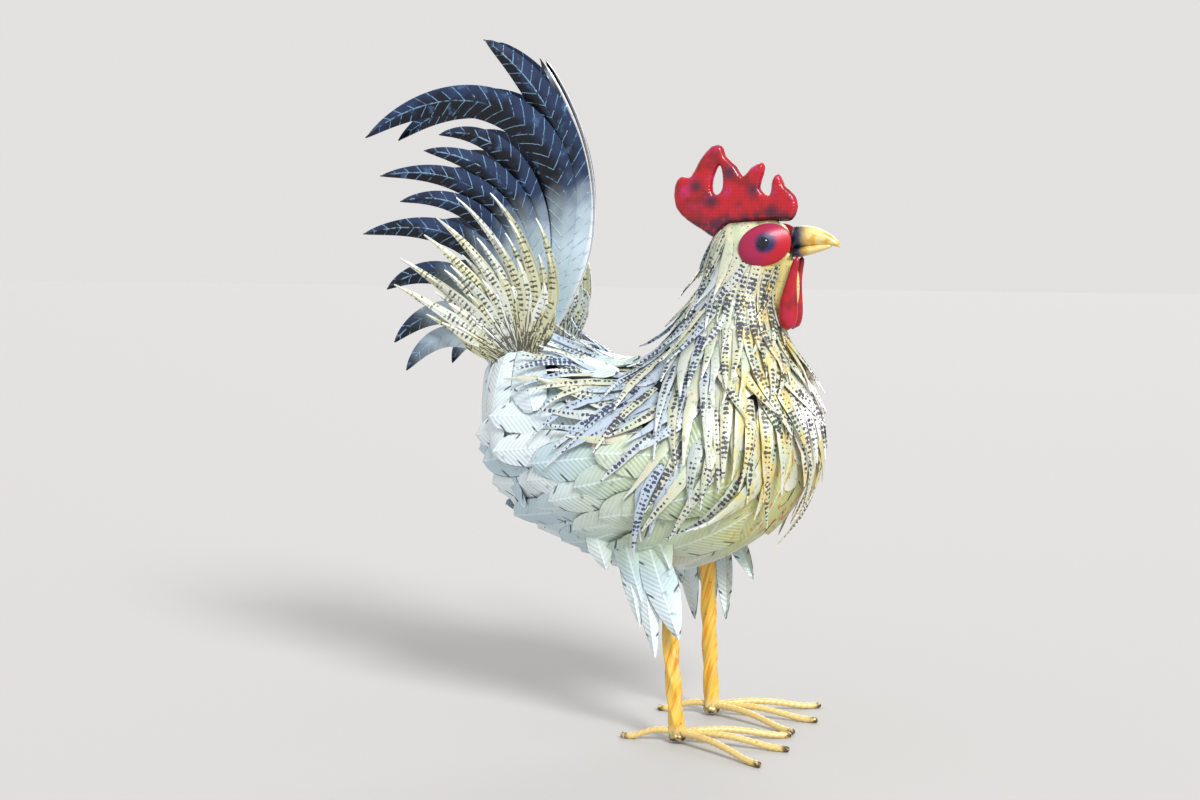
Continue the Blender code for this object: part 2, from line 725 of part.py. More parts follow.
def rounded_loop(corners, steps=2):
    """A smooth closed loop through the corners, with this many points for each."""
    corners = np.array(corners, float)
    count = len(corners)
    loop = []
    for k in range(count):
        before, here, there, after = (corners[(k + shift) % count] for shift in (-1, 0, 1, 2))
        for step in range(steps):
            f = step / steps
            loop.append((2 * f**3 - 3 * f**2 + 1) * here + (f**3 - 2 * f**2 + f) * (there - before) / 2
                        + (3 * f**2 - 2 * f**3) * there + (f**3 - f**2) * (after - here) / 2)
    return np.array(loop)


def inset_loop(loop, amount):
    """The loop moved to its left by this amount."""
    along = np.roll(loop, -1, axis=0) - np.roll(loop, 1, axis=0)
    left = np.column_stack((-along[:, 1], along[:, 0]))
    return loop + left / np.linalg.norm(left, axis=1)[:, None] * amount


def anticlockwise(loop):
    x, z = loop[:, 0], loop[:, 1]
    return loop if (x * np.roll(z, -1) - np.roll(x, -1) * z).sum() > 0 else loop[::-1]


def make_comb(statue, skin):
    outer = anticlockwise(rounded_loop(tuple(COMB_OUTLINE) + tuple(reversed(crown_edge(skin)))))
    hole = anticlockwise(rounded_loop(COMB_HOLE))[::-1]
    rims = [outer, hole]
    flats = [inset_loop(rim, COMB_ROUNDING) for rim in rims]
    half = COMB_THICKNESS / 2
    count = sum(len(rim) for rim in rims)
    points = []
    for loops, y in ((flats, -half), (rims, 0.0), (flats, half)):
        points += [np.array((x, y, z)) for loop in loops for x, z in loop]
    triangles = tessellate_polygon([[Vector((x, z, 0)) for x, z in loop] for loop in flats])
    faces = [tuple(triangle) for triangle in triangles]
    faces += [tuple(2 * count + corner for corner in reversed(triangle)) for triangle in triangles]
    start = 0
    for rim in rims:
        for k in range(len(rim)):
            here, following = start + k, start + (k + 1) % len(rim)
            for layer in range(2):
                low, high = layer * count, (layer + 1) * count
                faces.append((low + here, low + following, high + following, high + here))
        start += len(rim)
    statue.add_faces("comb", points, faces, "red")


def make_beak(statue):
    for name, stations in (("beak_upper", BEAK_UPPER), ("beak_lower", BEAK_LOWER)):
        rings = []
        for station in stations:
            middle, half = (station.low + station.high) / 2, (station.high - station.low) / 2
            turns = [2 * math.pi * (k + 0.5) / BEAK_SIDES for k in range(BEAK_SIDES)]
            width = station.half_width
            rings.append([np.array((station.x, width * math.cos(turn), middle + half * math.sin(turn)))
                          for turn in turns])
        statue.add_faces(name, *loft(rings), "beak", smooth=True)


def side_of_head(tree, x, z, sign):
    """How far out the head's side is at this x and z, no nearer the middle than a patch may reach."""
    hit = tree.ray_cast(Vector((x, sign * 4 * PATCH_RADII[0], z)), Vector((0, -sign, 0)))[0]
    return max(abs(hit.y) if hit else 0.0, PATCH_NEAREST)


def patch_point(tree, spread, turn, sign):
    """A point of the face patch's back, by the share out from its centre and the turn round it."""
    tilt = math.radians(PATCH_TILT)
    a, b = PATCH_RADII[0] * spread * math.cos(turn), PATCH_RADII[1] * spread * math.sin(turn)
    x = PATCH_CENTRE[0] + a * math.cos(tilt) - b * math.sin(tilt)
    z = PATCH_CENTRE[1] + a * math.sin(tilt) + b * math.cos(tilt)
    return np.array((x, sign * (side_of_head(tree, x, z, sign) + CLEARANCE + PATCH_STANDS_OFF), z))


def make_face(statue, tree):
    around = PATCH_SIDES
    layers = [(spread, 0.0) for spread in reversed(PATCH_SPREADS)]
    layers += [(spread, PATCH_RIM + PATCH_DOME * (1 - spread**2) ** 0.5) for spread in PATCH_SPREADS]
    for side, sign in SIDES.items():
        back = patch_point(tree, 0.0, 0.0, sign)
        rings = []
        for spread, lift in layers:
            ring = [patch_point(tree, spread, 2 * math.pi * k / around, sign) for k in range(around)]
            rings.append([point + np.array((0, sign * lift, 0)) for point in ring])
        points, faces = loft(rings)
        points += [back, back + np.array((0, sign * (PATCH_RIM + PATCH_DOME), 0))]
        last_ring = len(points) - 2 - around
        faces = faces[2:]
        for k in range(around):
            following = (k + 1) % around
            faces.append((k, following, len(points) - 2))
            faces.append((last_ring + k, last_ring + following, len(points) - 1))
        statue.add_faces(f"face_patch_{side}", points, faces, "red", smooth=True)
        top = max(abs(point[1]) for point in points)
        make_eye(statue, side, sign, top + CLEARANCE)


def make_eye(statue, side, sign, out):
    rings = []
    turns = [2 * math.pi * k / EYE_SIDES for k in range(EYE_SIDES)]
    for lift in EYE_RINGS:
        radius = EYE_RADIUS * (1 - lift * lift) ** 0.5
        middle = np.array((EYE_PLACE[0], sign * (out + EYE_HEIGHT * lift), EYE_PLACE[1]))
        rings.append([middle + radius * np.array((math.cos(turn), 0, math.sin(turn))) for turn in turns])
    statue.add_faces(f"eye_{side}", *loft(rings), "eye", smooth=True)


def make_wattles(statue):
    turns = [2 * math.pi * k / WATTLE_SIDES for k in range(WATTLE_SIDES)]
    for side, sign in SIDES.items():
        rings = []
        for x, z, half_width, half_thick in WATTLE_SECTIONS:
            y = sign * WATTLE_OUT
            rings.append([np.array((x + half_width * math.cos(turn), y + half_thick * math.sin(turn), z))
                          for turn in turns])
        statue.add_faces(f"wattle_{side}", *loft(rings), "red", smooth=True)


def make_legs(statue, tree):
    half = LEG_BAR / 2
    for side in SIDES:
        rings = []
        corners = [(half, half), (-half, half), (-half, -half), (half, -half)]
        for section in range(LEG_SECTIONS + 1):
            height = LEG_FOOT + (LEG_REACH - LEG_FOOT) * section / LEG_SECTIONS
            axis = leg_axis(side, height)
            turn = 2 * math.pi * (height - LEG_FOOT) / LEG_TWIST_LENGTH * SIDES[side]
            ring = []
            for x, y in corners:
                turned = (x * math.cos(turn) - y * math.sin(turn), x * math.sin(turn) + y * math.cos(turn), 0)
                ring.append(axis + np.array(turned))
            rings.append(ring)
        top = []
        reach = [tree.ray_cast(Vector(corner), Vector((0, 0, 1)))[0].z for corner in rings[-1]]
        middle = tree.ray_cast(Vector(sum(rings[-1]) / 4), Vector((0, 0, 1)))[0].z
        bulge = max(sum(reach) / 4 - middle, 0.0)
        for corner, height in zip(rings[-1], reach):
            top.append(np.array((corner[0], corner[1], height - bulge - 2 * CLEARANCE)))
        rings.append(top)
        statue.add_faces(f"leg_{side}", *loft(rings), "leg")


def toe_path(toe, side, place):
    """The middle of a toe's rod this far from the leg: a low arch that ends level on the ground."""
    sign = SIDES[side]
    angle = math.radians(toe.angle)
    low = TOE_ROD / 2 * math.cos(math.pi / TOE_SIDES)
    share = min(place / (toe.length - TOE_FLAT), 1.0)
    fall = (TOE_HEIGHT - low) * (1 - smooth_step(share**TOE_FALL))
    height = low + fall + TOE_ARCH * math.sin(math.pi * share) * (1 - share)
    out = LEG_OUT + place * math.sin(angle)
    return np.array((place * math.cos(angle), sign * out, height))


def make_toes(statue):
    for side in SIDES:
        for name, toe in TOES.items():
            flat_start = toe.length - TOE_FLAT
            places = [TOE_ROOT, TOE_ROOT + TOE_ROOT_TAPER]
            places += [TOE_ROOT + (flat_start - TOE_ROOT) * share for share in TOE_BENDS]
            places += [flat_start, toe.length]
            rings = []
            for place in places:
                radius = TOE_ROD / 2 * (TOE_ROOT_NECK if place == TOE_ROOT else 1.0)
                centre = toe_path(toe, side, place)
                angle = math.radians(toe.angle)
                across = np.array((-math.sin(angle), SIDES[side] * math.cos(angle), 0))
                ring = []
                for k in range(TOE_SIDES):
                    turn = 2 * math.pi * (k + 0.5) / TOE_SIDES + math.pi / 2
                    up = np.array((0, 0, radius * math.sin(turn)))
                    ring.append(centre + across * radius * math.cos(turn) + up)
                rings.append(ring)
            statue.add_faces(f"toe_{side}_{name}", *loft(rings), "leg")


def make_thighs(statue, tree):
    count = len(THIGH_LENGTHS)
    for side, sign in SIDES.items():

        def at(number, distance, sign=sign):
            x = THIGH_SPAN[0] + (THIGH_SPAN[1] - THIGH_SPAN[0]) * number / (2 * count)
            hit = tree.ray_cast(Vector((x, sign * THIGH_OUT, 0)), Vector((0, 0, 1)))[0]
            out = THIGH_OUT - THIGH_IN_AT_TIP * distance / max(THIGH_LENGTHS)
            top = hit.z - THIGH_ROOT_GAP
            point = np.array((x - THIGH_BACK * distance, sign * out, top - distance))
            return point, np.array((0.0, sign, 0.0))

        sheet = finger_sheet(at, THIGH_LENGTHS, THIGH_BAND, LEAF_PROFILE, crease=LEAF_CREASE)
        statue.add_faces(f"thigh_feathers_{side}", *thicken(*sheet, SHEET), "leaf")


def main():
    for old in list(bpy.data.objects):
        bpy.data.objects.remove(old)
    statue = Statue()
    skin = Skin(BODY_SECTIONS)
    body = make_body(statue, skin)
    tree = body_tree(body)
    make_comb(statue, skin)
    make_beak(statue)
    make_face(statue, tree)
    make_wattles(statue)
    make_legs(statue, tree)
    make_toes(statue)
    make_sickles(statue)
    make_coverts(statue)
    make_collars(statue, skin)
    make_leaf_rows(statue, skin)
    make_rump_panels(statue, skin)
    make_thighs(statue, tree)
    statue.centre()


main()
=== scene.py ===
"""A rooster garden statue of painted sheet metal, dressed over its frame.

The statue stands on two rod feet and is covered with rows of cut and embossed sheet feathers: a cape of
spotted strips round the neck, barbed leaves round the belly, rump and thighs, speckled fingers over the tail's
root and tall creased sickles above it. Sizes are in millimetres, with x measured forwards from the legs, y to the
statue's left and z up from the ground; a mesh is turned to the scene's metres when it is finished.
"""

import logging
import math
import random
from contextlib import contextmanager
from dataclasses import dataclass, field
from enum import Enum
from functools import cached_property
from typing import Callable, Iterable, Iterator, Sequence

import bmesh
import bpy
import numpy as np
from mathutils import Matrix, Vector
from mathutils.bvhtree import BVHTree


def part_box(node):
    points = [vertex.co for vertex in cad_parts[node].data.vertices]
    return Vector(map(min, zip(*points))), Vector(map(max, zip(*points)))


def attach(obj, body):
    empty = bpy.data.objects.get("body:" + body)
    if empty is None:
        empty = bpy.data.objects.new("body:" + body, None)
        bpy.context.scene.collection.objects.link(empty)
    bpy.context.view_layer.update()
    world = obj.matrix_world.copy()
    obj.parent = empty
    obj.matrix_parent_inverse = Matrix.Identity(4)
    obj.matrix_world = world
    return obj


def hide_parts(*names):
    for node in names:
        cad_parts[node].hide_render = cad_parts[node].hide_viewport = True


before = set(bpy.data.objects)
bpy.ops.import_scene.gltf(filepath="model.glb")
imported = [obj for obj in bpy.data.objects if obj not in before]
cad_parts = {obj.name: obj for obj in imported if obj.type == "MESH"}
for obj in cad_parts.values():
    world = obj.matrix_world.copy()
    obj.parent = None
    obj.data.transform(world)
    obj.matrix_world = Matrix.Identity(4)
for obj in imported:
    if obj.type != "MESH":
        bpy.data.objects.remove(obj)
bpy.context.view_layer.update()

log = logging.getLogger("rooster")

Array = np.ndarray
Piece = bpy.types.Object
Material = bpy.types.Material

SIDES = {"right": -1, "left": 1}
BACK_TOE_LENGTH = 54.0
HUB_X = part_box("toe_right_back")[0].x + BACK_TOE_LENGTH / 1000
HUB = np.array((HUB_X, 0.0, 0.0))
LEG_OUT = 56.0

# The core's sections from the crown down the neck, round the breast and belly and up to the tail's stump: the
# point on the nape and saddle side, then the one on the throat and belly side.
SECTIONS = (
    ((30, 466), (74, 469)),
    ((21, 457), (84, 463)),
    ((17, 444), (87, 449)),
    ((13, 429), (81, 431)),
    ((8, 411), (72, 412)),
    ((-4, 389), (70, 390)),
    ((-19, 365), (80, 358)),
    ((-33, 347), (101, 320)),
    ((-46, 336), (113, 272)),
    ((-57, 331), (99, 224)),
    ((-67, 330), (62, 184)),
    ((-79, 332), (8, 158)),
    ((-92, 336), (-58, 154)),
    ((-107, 341), (-124, 176)),
    ((-121, 346), (-172, 214)),
    ((-132, 350), (-190, 260)),
    ((-140, 354), (-194, 306)),
    ((-145, 358), (-192, 338)),
)


def to_scene(points: Array) -> Array:
    """Places in the scene's metres of places in millimetres from the legs."""
    return np.asarray(points) * 0.001 + HUB


def to_sizes(points: Array) -> Array:
    """Places in millimetres from the legs of places in the scene's metres."""
    return (np.asarray(points) - HUB) * 1000


def unit(vector: Array) -> Array:
    """The vector at length one."""
    return vector / max(np.linalg.norm(vector), 1e-9)


def units(vectors: Array) -> Array:
    """Every row at length one."""
    return vectors / np.maximum(np.linalg.norm(vectors, axis=-1, keepdims=True), 1e-9)


def smooth(value: Array | float) -> Array:
    """An even step from 0 to 1."""
    value = np.clip(value, 0.0, 1.0)
    return value * value * (3 - 2 * value)


def blend(pair: Sequence[float], share: Array | float) -> Array | float:
    """The value this share of the way from the pair's first to its second."""
    return pair[0] + (pair[1] - pair[0]) * share


def distances(points: Array) -> Array:
    """How far along a line each of its points lies."""
    return np.concatenate(((0.0,), np.cumsum(np.linalg.norm(np.diff(points, axis=0), axis=1))))


def read(table: Array, marks: Array, at: Array | float) -> Array:
    """The table's row at a place between the marks of its rows, or one row for each place."""
    return np.stack([np.interp(at, marks, column) for column in table.T], axis=-1)


def shade(*shares: float) -> tuple[float, ...]:
    """A paint's red, green and blue as the eye reads them, made linear for a shader."""
    return (*(c / 12.92 if c <= 0.04045 else ((c + 0.055) / 1.055) ** 2.4 for c in shares), 1.0)


class Bench:
    """The modelling bench: primitives, edit-mode steps and modifiers, on one piece at a time."""

    @staticmethod
    def clear() -> None:
        """Leaves nothing selected."""
        for piece in bpy.context.selected_objects:
            piece.select_set(False)

    @classmethod
    def take(cls, *pieces: Piece) -> None:
        """Selects these pieces alone, with the first one active."""
        cls.clear()
        for piece in pieces:
            piece.select_set(True)
        bpy.context.view_layer.objects.active = pieces[0]

    @staticmethod
    @contextmanager
    def editing() -> Iterator[None]:
        """Edit mode with everything selected, and object mode again at the end."""
        bpy.ops.object.mode_set(mode="EDIT")
        bpy.ops.mesh.select_all(action="SELECT")
        yield
        bpy.ops.object.mode_set(mode="OBJECT")

    @classmethod
    def start(cls, primitive: Callable, name: str, **sizes: object) -> Piece:
        """Adds a primitive.

        Args:
            primitive: The operator that adds it.
            name: The piece's name.
            **sizes: The operator's settings.

        Returns:
            The new piece, in hand.
        """
        cls.clear()
        primitive(**sizes)
        bpy.context.active_object.name = name
        return bpy.context.active_object

    @classmethod
    def grid(cls, name: str, columns: int, rows: int) -> Piece:
        """A flat sheet of metal before it is cut.

        Args:
            name: The piece's name.
            columns: Faces across.
            rows: Faces along.

        Returns:
            The sheet, which lies from -0.5 to 0.5 across and from 0 to 1 along.
        """
        add = bpy.ops.mesh.primitive_grid_add
        piece = cls.start(add, name, x_subdivisions=columns, y_subdivisions=rows, size=1.0)
        with cls.editing():
            bpy.ops.transform.translate(value=(0, 0.5, 0))
        return piece

    @staticmethod
    def double(source: Piece, name: str) -> Piece:
        """Copies a piece.

        Args:
            source: The piece.
            name: The copy's name.

        Returns:
            The copy, with a mesh of its own.
        """
        piece = source.copy()
        piece.data = source.data.copy()
        piece.name = name
        bpy.context.scene.collection.objects.link(piece)
        return piece

    @classmethod
    def copy(cls, source: Piece, name: str) -> Piece:
        """A copy with its points merged and its triangles paired into quads.

        Args:
            source: The frame's node, or another piece in its place.
            name: The copy's name.

        Returns:
            The copy, in hand.
        """
        piece = bpy.data.objects.new(name, source.data.copy())
        bpy.context.scene.collection.objects.link(piece)
        piece.data.materials.clear()
        cls.take(piece)
        with cls.editing():
            bpy.ops.mesh.remove_doubles(threshold=1e-6)
            bpy.ops.mesh.tris_convert_to_quads(
                face_threshold=math.radians(50), shape_threshold=math.radians(60))
        return piece

    @classmethod
    def apply(cls, piece: Piece, kind: str, **settings: object) -> None:
        """Puts a modifier on a piece and applies it.

        Args:
            piece: The piece.
            kind: The modifier's type.
            **settings: The modifier's settings.
        """
        cls.take(piece)
        modifier = piece.modifiers.new(kind.title(), kind)
        for key, value in settings.items():
            setattr(modifier, key, value)
        bpy.ops.object.modifier_apply(modifier=modifier.name)

    @staticmethod
    def points(piece: Piece, kind: str = "co") -> Array:
        """Reads three numbers of every point of the mesh.

        Args:
            piece: The piece.
            kind: What is read, the place or the normal.

        Returns:
            The numbers, one point to a row.
        """
        flat = np.empty(len(piece.data.vertices) * 3)
        piece.data.vertices.foreach_get(kind, flat)
        return flat.reshape(-1, 3)

    @staticmethod
    def move(piece: Piece, points: Array) -> None:
        """Puts the mesh's points at these places."""
        piece.data.vertices.foreach_set("co", np.asarray(points, dtype=np.float64).ravel())
        piece.data.update()

    @classmethod
    def swell(cls, piece: Piece, *out: float) -> None:
        """Moves every point out along its normal by this many millimetres, one size or one for each axis."""
        cls.move(piece, cls.points(piece) + cls.points(piece, "normal") * np.array(out) / 1000)

    @staticmethod
    def note(piece: Piece, **notes: Iterable[float] | float) -> None:
        """Keeps numbers on every point of the mesh for its finish to read.

        Args:
            piece: The piece.
            **notes: The numbers by name, one for each point or one for all.
        """
        for name, values in notes.items():
            attribute = piece.data.attributes.new(name, "FLOAT", "POINT")
            values = np.broadcast_to(np.asarray(values, dtype=np.float32), len(piece.data.vertices))
            attribute.data.foreach_set("value", np.ascontiguousarray(values))

    @staticmethod
    def unwrap(piece: Piece, flat: Array) -> None:
        """Writes the piece's own map: where each point lies on the flat sheet, in tenths of a metre.

        Args:
            piece: The piece.
            flat: Every point's distance from the midrib and from the root, in millimetres.
        """
        mesh = piece.data
        layer = mesh.uv_layers.new(name="sheet")
        corners = np.empty(len(mesh.loops), dtype=np.int32)
        mesh.loops.foreach_get("vertex_index", corners)
        layer.data.foreach_set("uv", (flat[corners, :2] / 100).astype(np.float32).ravel())

    @classmethod
    def join(cls, pieces: Sequence[Piece], name: str) -> Piece:
        """Welds pieces into one.

        Args:
            pieces: The pieces, of which the first one stays.
            name: The name of the whole.

        Returns:
            The whole.
        """
        cls.take(*pieces)
        if len(pieces) > 1:
            bpy.ops.object.join()
        pieces[0].name = name
        pieces[0].data.name = name
        return pieces[0]

    @classmethod
    def face_out(cls, piece: Piece) -> None:
        """Turns every face outwards.

        Args:
            piece: The piece, which is closed.
        """
        cls.take(piece)
        with cls.editing():
            bpy.ops.mesh.normals_make_consistent(inside=False)

    @classmethod
    def soften(cls, piece: Piece, angle: float) -> None:
        """Shades the piece smooth, but for edges sharper than this many degrees."""
        cls.take(piece)
        bpy.ops.object.shade_smooth_by_angle(angle=math.radians(angle))

    @staticmethod
    def surface(points: Array, faces: Sequence[tuple]) -> BVHTree:
        """A surface that can be searched."""
        return BVHTree.FromPolygons([Vector(point) for point in points], faces)

    @staticmethod
    def faces(piece: Piece) -> list[tuple]:
        """The numbers of the points round each face."""
        return [tuple(face.vertices) for face in piece.data.polygons]


def sums(operation: str, swapped: bool = False) -> Callable[..., "Number"]:
    """Makes the method that writes one kind of sum into a finish's graph.

    Args:
        operation: The sum's name.
        swapped: Whether the method's own number comes last.

    Returns:
        The method.
    """

    def method(number: "Number", *others: object) -> "Number":
        """The outcome of the sum."""
        return number.recipe.math(operation, *((*others, number) if swapped else (number, *others)))

    return method


class Number:
    """A number in a finish's graph; a sum that is written with it becomes a node."""

    __add__ = sums("ADD")
    __sub__ = sums("SUBTRACT")
    __rsub__ = sums("SUBTRACT", swapped=True)
    __mul__ = sums("MULTIPLY")
    __truediv__ = sums("DIVIDE")
    __abs__ = sums("ABSOLUTE")
    larger = sums("MAXIMUM")
    fraction = sums("FRACT")
    root = sums("SQRT")

    def __init__(self, recipe: "Recipe", socket: bpy.types.NodeSocket) -> None:
        """Takes one output of the recipe's graph."""
        self.recipe = recipe
        self.socket = socket

    def step(self, low: float, high: float) -> "Number":
        """Changes evenly from 0 to 1.

        Args:
            low: Where the number gives 0.
            high: Where it gives 1. It may lie below low.

        Returns:
            The share.
        """
        first, last = (1.0, 0.0) if low > high else (0.0, 1.0)
        ends = {"From Min": min(low, high), "From Max": max(low, high), "To Min": first, "To Max": last}
        return self.recipe.add("MapRange", {"Value": self, **ends}, "Result", interpolation_type="SMOOTHSTEP")

    def wave(self, pitch: float) -> "Number":
        """A triangle wave from 0 to 1 and back over each pitch."""
        return 1.0 - abs((self / pitch).fraction() * 2.0 - 1.0)


def far(*parts: Number) -> Number:
    """The length of a line from its parts along the axes."""
    squares = [part * part for part in parts]
    return sum(squares[1:], squares[0]).root()


class Recipe:
    """A finish's graph over sizes in millimetres, with its colours laid one over another."""

    def __init__(self, name: str, colour: tuple) -> None:
        """Starts a graph with one even colour.

        Args:
            name: The material's name.
            colour: The paint under all others.
        """
        self.material = bpy.data.materials.new(name)
        self.material.use_nodes = True
        self.nodes = self.material.node_tree.nodes
        self.links = self.material.node_tree.links
        self.nodes.clear()
        output = self.nodes.new("ShaderNodeOutputMaterial")
        self.shader = self.nodes.new("ShaderNodeBsdfPrincipled")
        self.links.new(self.shader.outputs["BSDF"], output.inputs["Surface"])
        self.colour = colour

    def feed(self, sockets: bpy.types.NodeInputs, values: dict) -> None:
        """Links or sets sockets.

        Args:
            sockets: A node's inputs.
            values: What goes into them, by their names or numbers.
        """
        for key, value in values.items():
            if isinstance(value, Number):
                self.links.new(value.socket, sockets[key])
            else:
                sockets[key].default_value = value

    def add(self, kind: str, values: dict, output: int | str = 0, **settings: object) -> Number:
        """Adds a node.

        Args:
            kind: The shader node's type.
            values: What goes into it, by the sockets' names or numbers.
            output: Which of its outputs is wanted.
            **settings: The node's own settings.

        Returns:
            The output.
        """
        node = self.nodes.new(f"ShaderNode{kind}")
        for key, value in settings.items():
            setattr(node, key, value)
        self.feed(node.inputs, values)
        return Number(self, node.outputs[output])

    def math(self, operation: str, *values: object) -> Number:
        """The outcome of a sum on numbers."""
        return self.add("Math", dict(enumerate(values)), operation=operation)

    @cached_property
    def place(self) -> Number:
        """The point's place in millimetres from the legs."""
        shift = (-HUB_X * 1000, 0, 0)
        here = self.add("TexCoord", {}, "Object")
        return self.add("Mapping", {"Vector": here, "Location": shift, "Scale": (1000, 1000, 1000)})

    def split(self, vector: Number) -> tuple[Number, ...]:
        """The vector's three numbers."""
        first = self.add("SeparateXYZ", {0: vector})
        return tuple(Number(self, output) for output in first.socket.node.outputs)

    def bring(self, *values: object) -> Number:
        """A vector of three numbers."""
        return self.add("CombineXYZ", dict(enumerate(values)))

    def sheet(self) -> tuple[Number, Number]:
        """The distances from a feather's midrib and root, in millimetres."""
        across, along, _ = self.split(self.add("UVMap", {}, uv_map="sheet"))
        return across * 100.0, along * 100.0

    def noted(self, *names: str) -> Number | tuple[Number, ...]:
        """The numbers that the mesh keeps under these names."""
        found = tuple(self.add("Attribute", {}, "Fac", attribute_name=name) for name in names)
        return found if len(found) > 1 else found[0]

    def noise(self, size: float | tuple, detail: float = 2.0, vector: Number | None = None) -> Number:
        """Even noise round 0.5.

        Args:
            size: About how wide its features are, one size or one for each direction.
            detail: How many finer layers it has.
            vector: Where it is read, if not at the point's place.

        Returns:
            The noise.
        """
        sizes = size if isinstance(size, tuple) else (size, size, size)
        scale = tuple(1 / value for value in sizes)
        spread = self.add("Mapping", {"Vector": vector or self.place, "Scale": scale})
        return self.add("TexNoise", {"Vector": spread, "Scale": 1.0, "Detail": detail}, "Fac")

    def cells(self, size: float, jitter: float = 1.0, vector: Number | None = None) -> Number:
        """The distance to the nearest of scattered dots.

        Args:
            size: The dots' spacing.
            jitter: How far they stray from even rows.
            vector: Where it is read, if not at the point's place.

        Returns:
            The distance in shares of the spacing.
        """
        values = {"Vector": vector or self.place, "Scale": 1 / size, "Randomness": jitter}
        return self.add("TexVoronoi", values, "Distance")

    def mix(self, share: Number, first: object, second: object) -> Number:
        """A colour this share of the way from the first to the second."""
        return self.add("Mix", {"Factor": share, 6: first, 7: second}, 2, data_type="RGBA")

    def cover(self, share: Number, colour: object) -> None:
        """Lays a colour over the paint so far, by this share."""
        self.colour = self.mix(share, self.colour, colour)

    def relief(self, height: Number, depth: float, strength: float) -> None:
        """Raises the surface by a height from 0 to 1 over this depth in millimetres."""
        bump = self.add("Bump", {"Height": height, "Distance": depth / 1000, "Strength": strength}, "Normal")
        self.feed(self.shader.inputs, {"Normal": bump})

    def finish(self, roughness: Number | float, metallic: float = 0.0, coat: float = 0.0) -> Material:
        """Sets the surface.

        Args:
            roughness: How matt it is.
            metallic: How much bare metal shows through.
            coat: How much clear lacquer lies on it.

        Returns:
            The finished material.
        """
        self.feed(self.shader.inputs, {
            "Base Color": self.colour, "Roughness": roughness, "Metallic": metallic, "Coat Weight": coat,
            "Coat Roughness": 0.12})
        return self.material


@dataclass(frozen=True)
class StripPaint:
    """Cream fingers, yellow at the throat and blue-grey behind, with rows of dark twin spots and painted shade
    along their edges.
    """

    cream: tuple = shade(0.80, 0.80, 0.71)
    yellow: tuple = shade(0.82, 0.75, 0.46)
    green: tuple = shade(0.74, 0.78, 0.69)
    blue: tuple = shade(0.70, 0.76, 0.82)
    white: tuple = shade(0.96, 0.96, 0.96)
    brown: tuple = shade(0.15, 0.14, 0.17)
    navy: tuple = shade(0.10, 0.13, 0.30)
    pitch: float = 4.4
    spot: float = 2.5
    aside: float = 1.7

    def make(self) -> Material:
        """The material for every finger of the cape."""
        mix = Recipe("strip_paint", self.cream)
        x, _, z = mix.split(mix.place)
        across, along = mix.sheet()
        tone, share, plain = mix.noted("tone", "along", "plain")
        wander = mix.noise(24.0)
        mix.cover(wander.step(0.40, 0.62), self.green)
        mix.cover((wander * 90.0 + x).step(115.0, 25.0) * tone.step(0.30, 0.60), self.blue)
        gold = mix.noise((9.0, 9.0, 26.0)).step(0.46, 0.60) * (wander * 60.0 + x).step(62.0, 105.0)
        mix.cover(gold * 0.9, self.yellow)
        mix.cover(x.step(92.0, 112.0) * z.step(235.0, 300.0) * tone.step(0.25, 0.5), self.white)
        mix.cover(share.step(0.72, 1.0) * 0.5, self.white)
        pick = (tone * 7.3).fraction()
        row = ((along / self.pitch).fraction() - 0.5) * (self.pitch * 1.15)
        away = far(row, abs(across) - pick.step(0.55, 0.59) * self.aside) + mix.noise(3.0) * 4.6
        size = (tone * 3.7).fraction() * 0.9 + self.spot + mix.noise(15.0).step(0.38, 0.64) * 1.5
        size = size - share.step(0.7, 1.0) * 0.9
        spot = (away - size).step(0.35, -0.35) * pick.step(0.12, 0.16) * plain.step(0.6, 0.4)
        dark = mix.mix((wander * 60.0 + x).step(120.0, 70.0), self.brown, self.navy)
        mix.cover(spot * 0.90, dark)
        mix.cover(mix.cells(3.2).step(0.34, 0.2) * mix.noise(10.0).step(0.5, 0.62) * plain * 0.7, dark)
        # Painted shade: a broken dark line along the fingers' edges stands in for their shadow.
        mix.cover(mix.noted("edge").step(0.84, 0.98) * mix.noise(9.0).step(0.5, 0.6) * 0.8, dark)
        mix.cover(mix.noise((5.0, 5.0, 9.0), 4.0).step(0.56, 0.72) * 0.45, dark)
        mix.relief(mix.noise(4.0) - spot * 0.8, 0.5, 0.6)
        return mix.finish(wander * 0.25 + 0.30, 0.15)


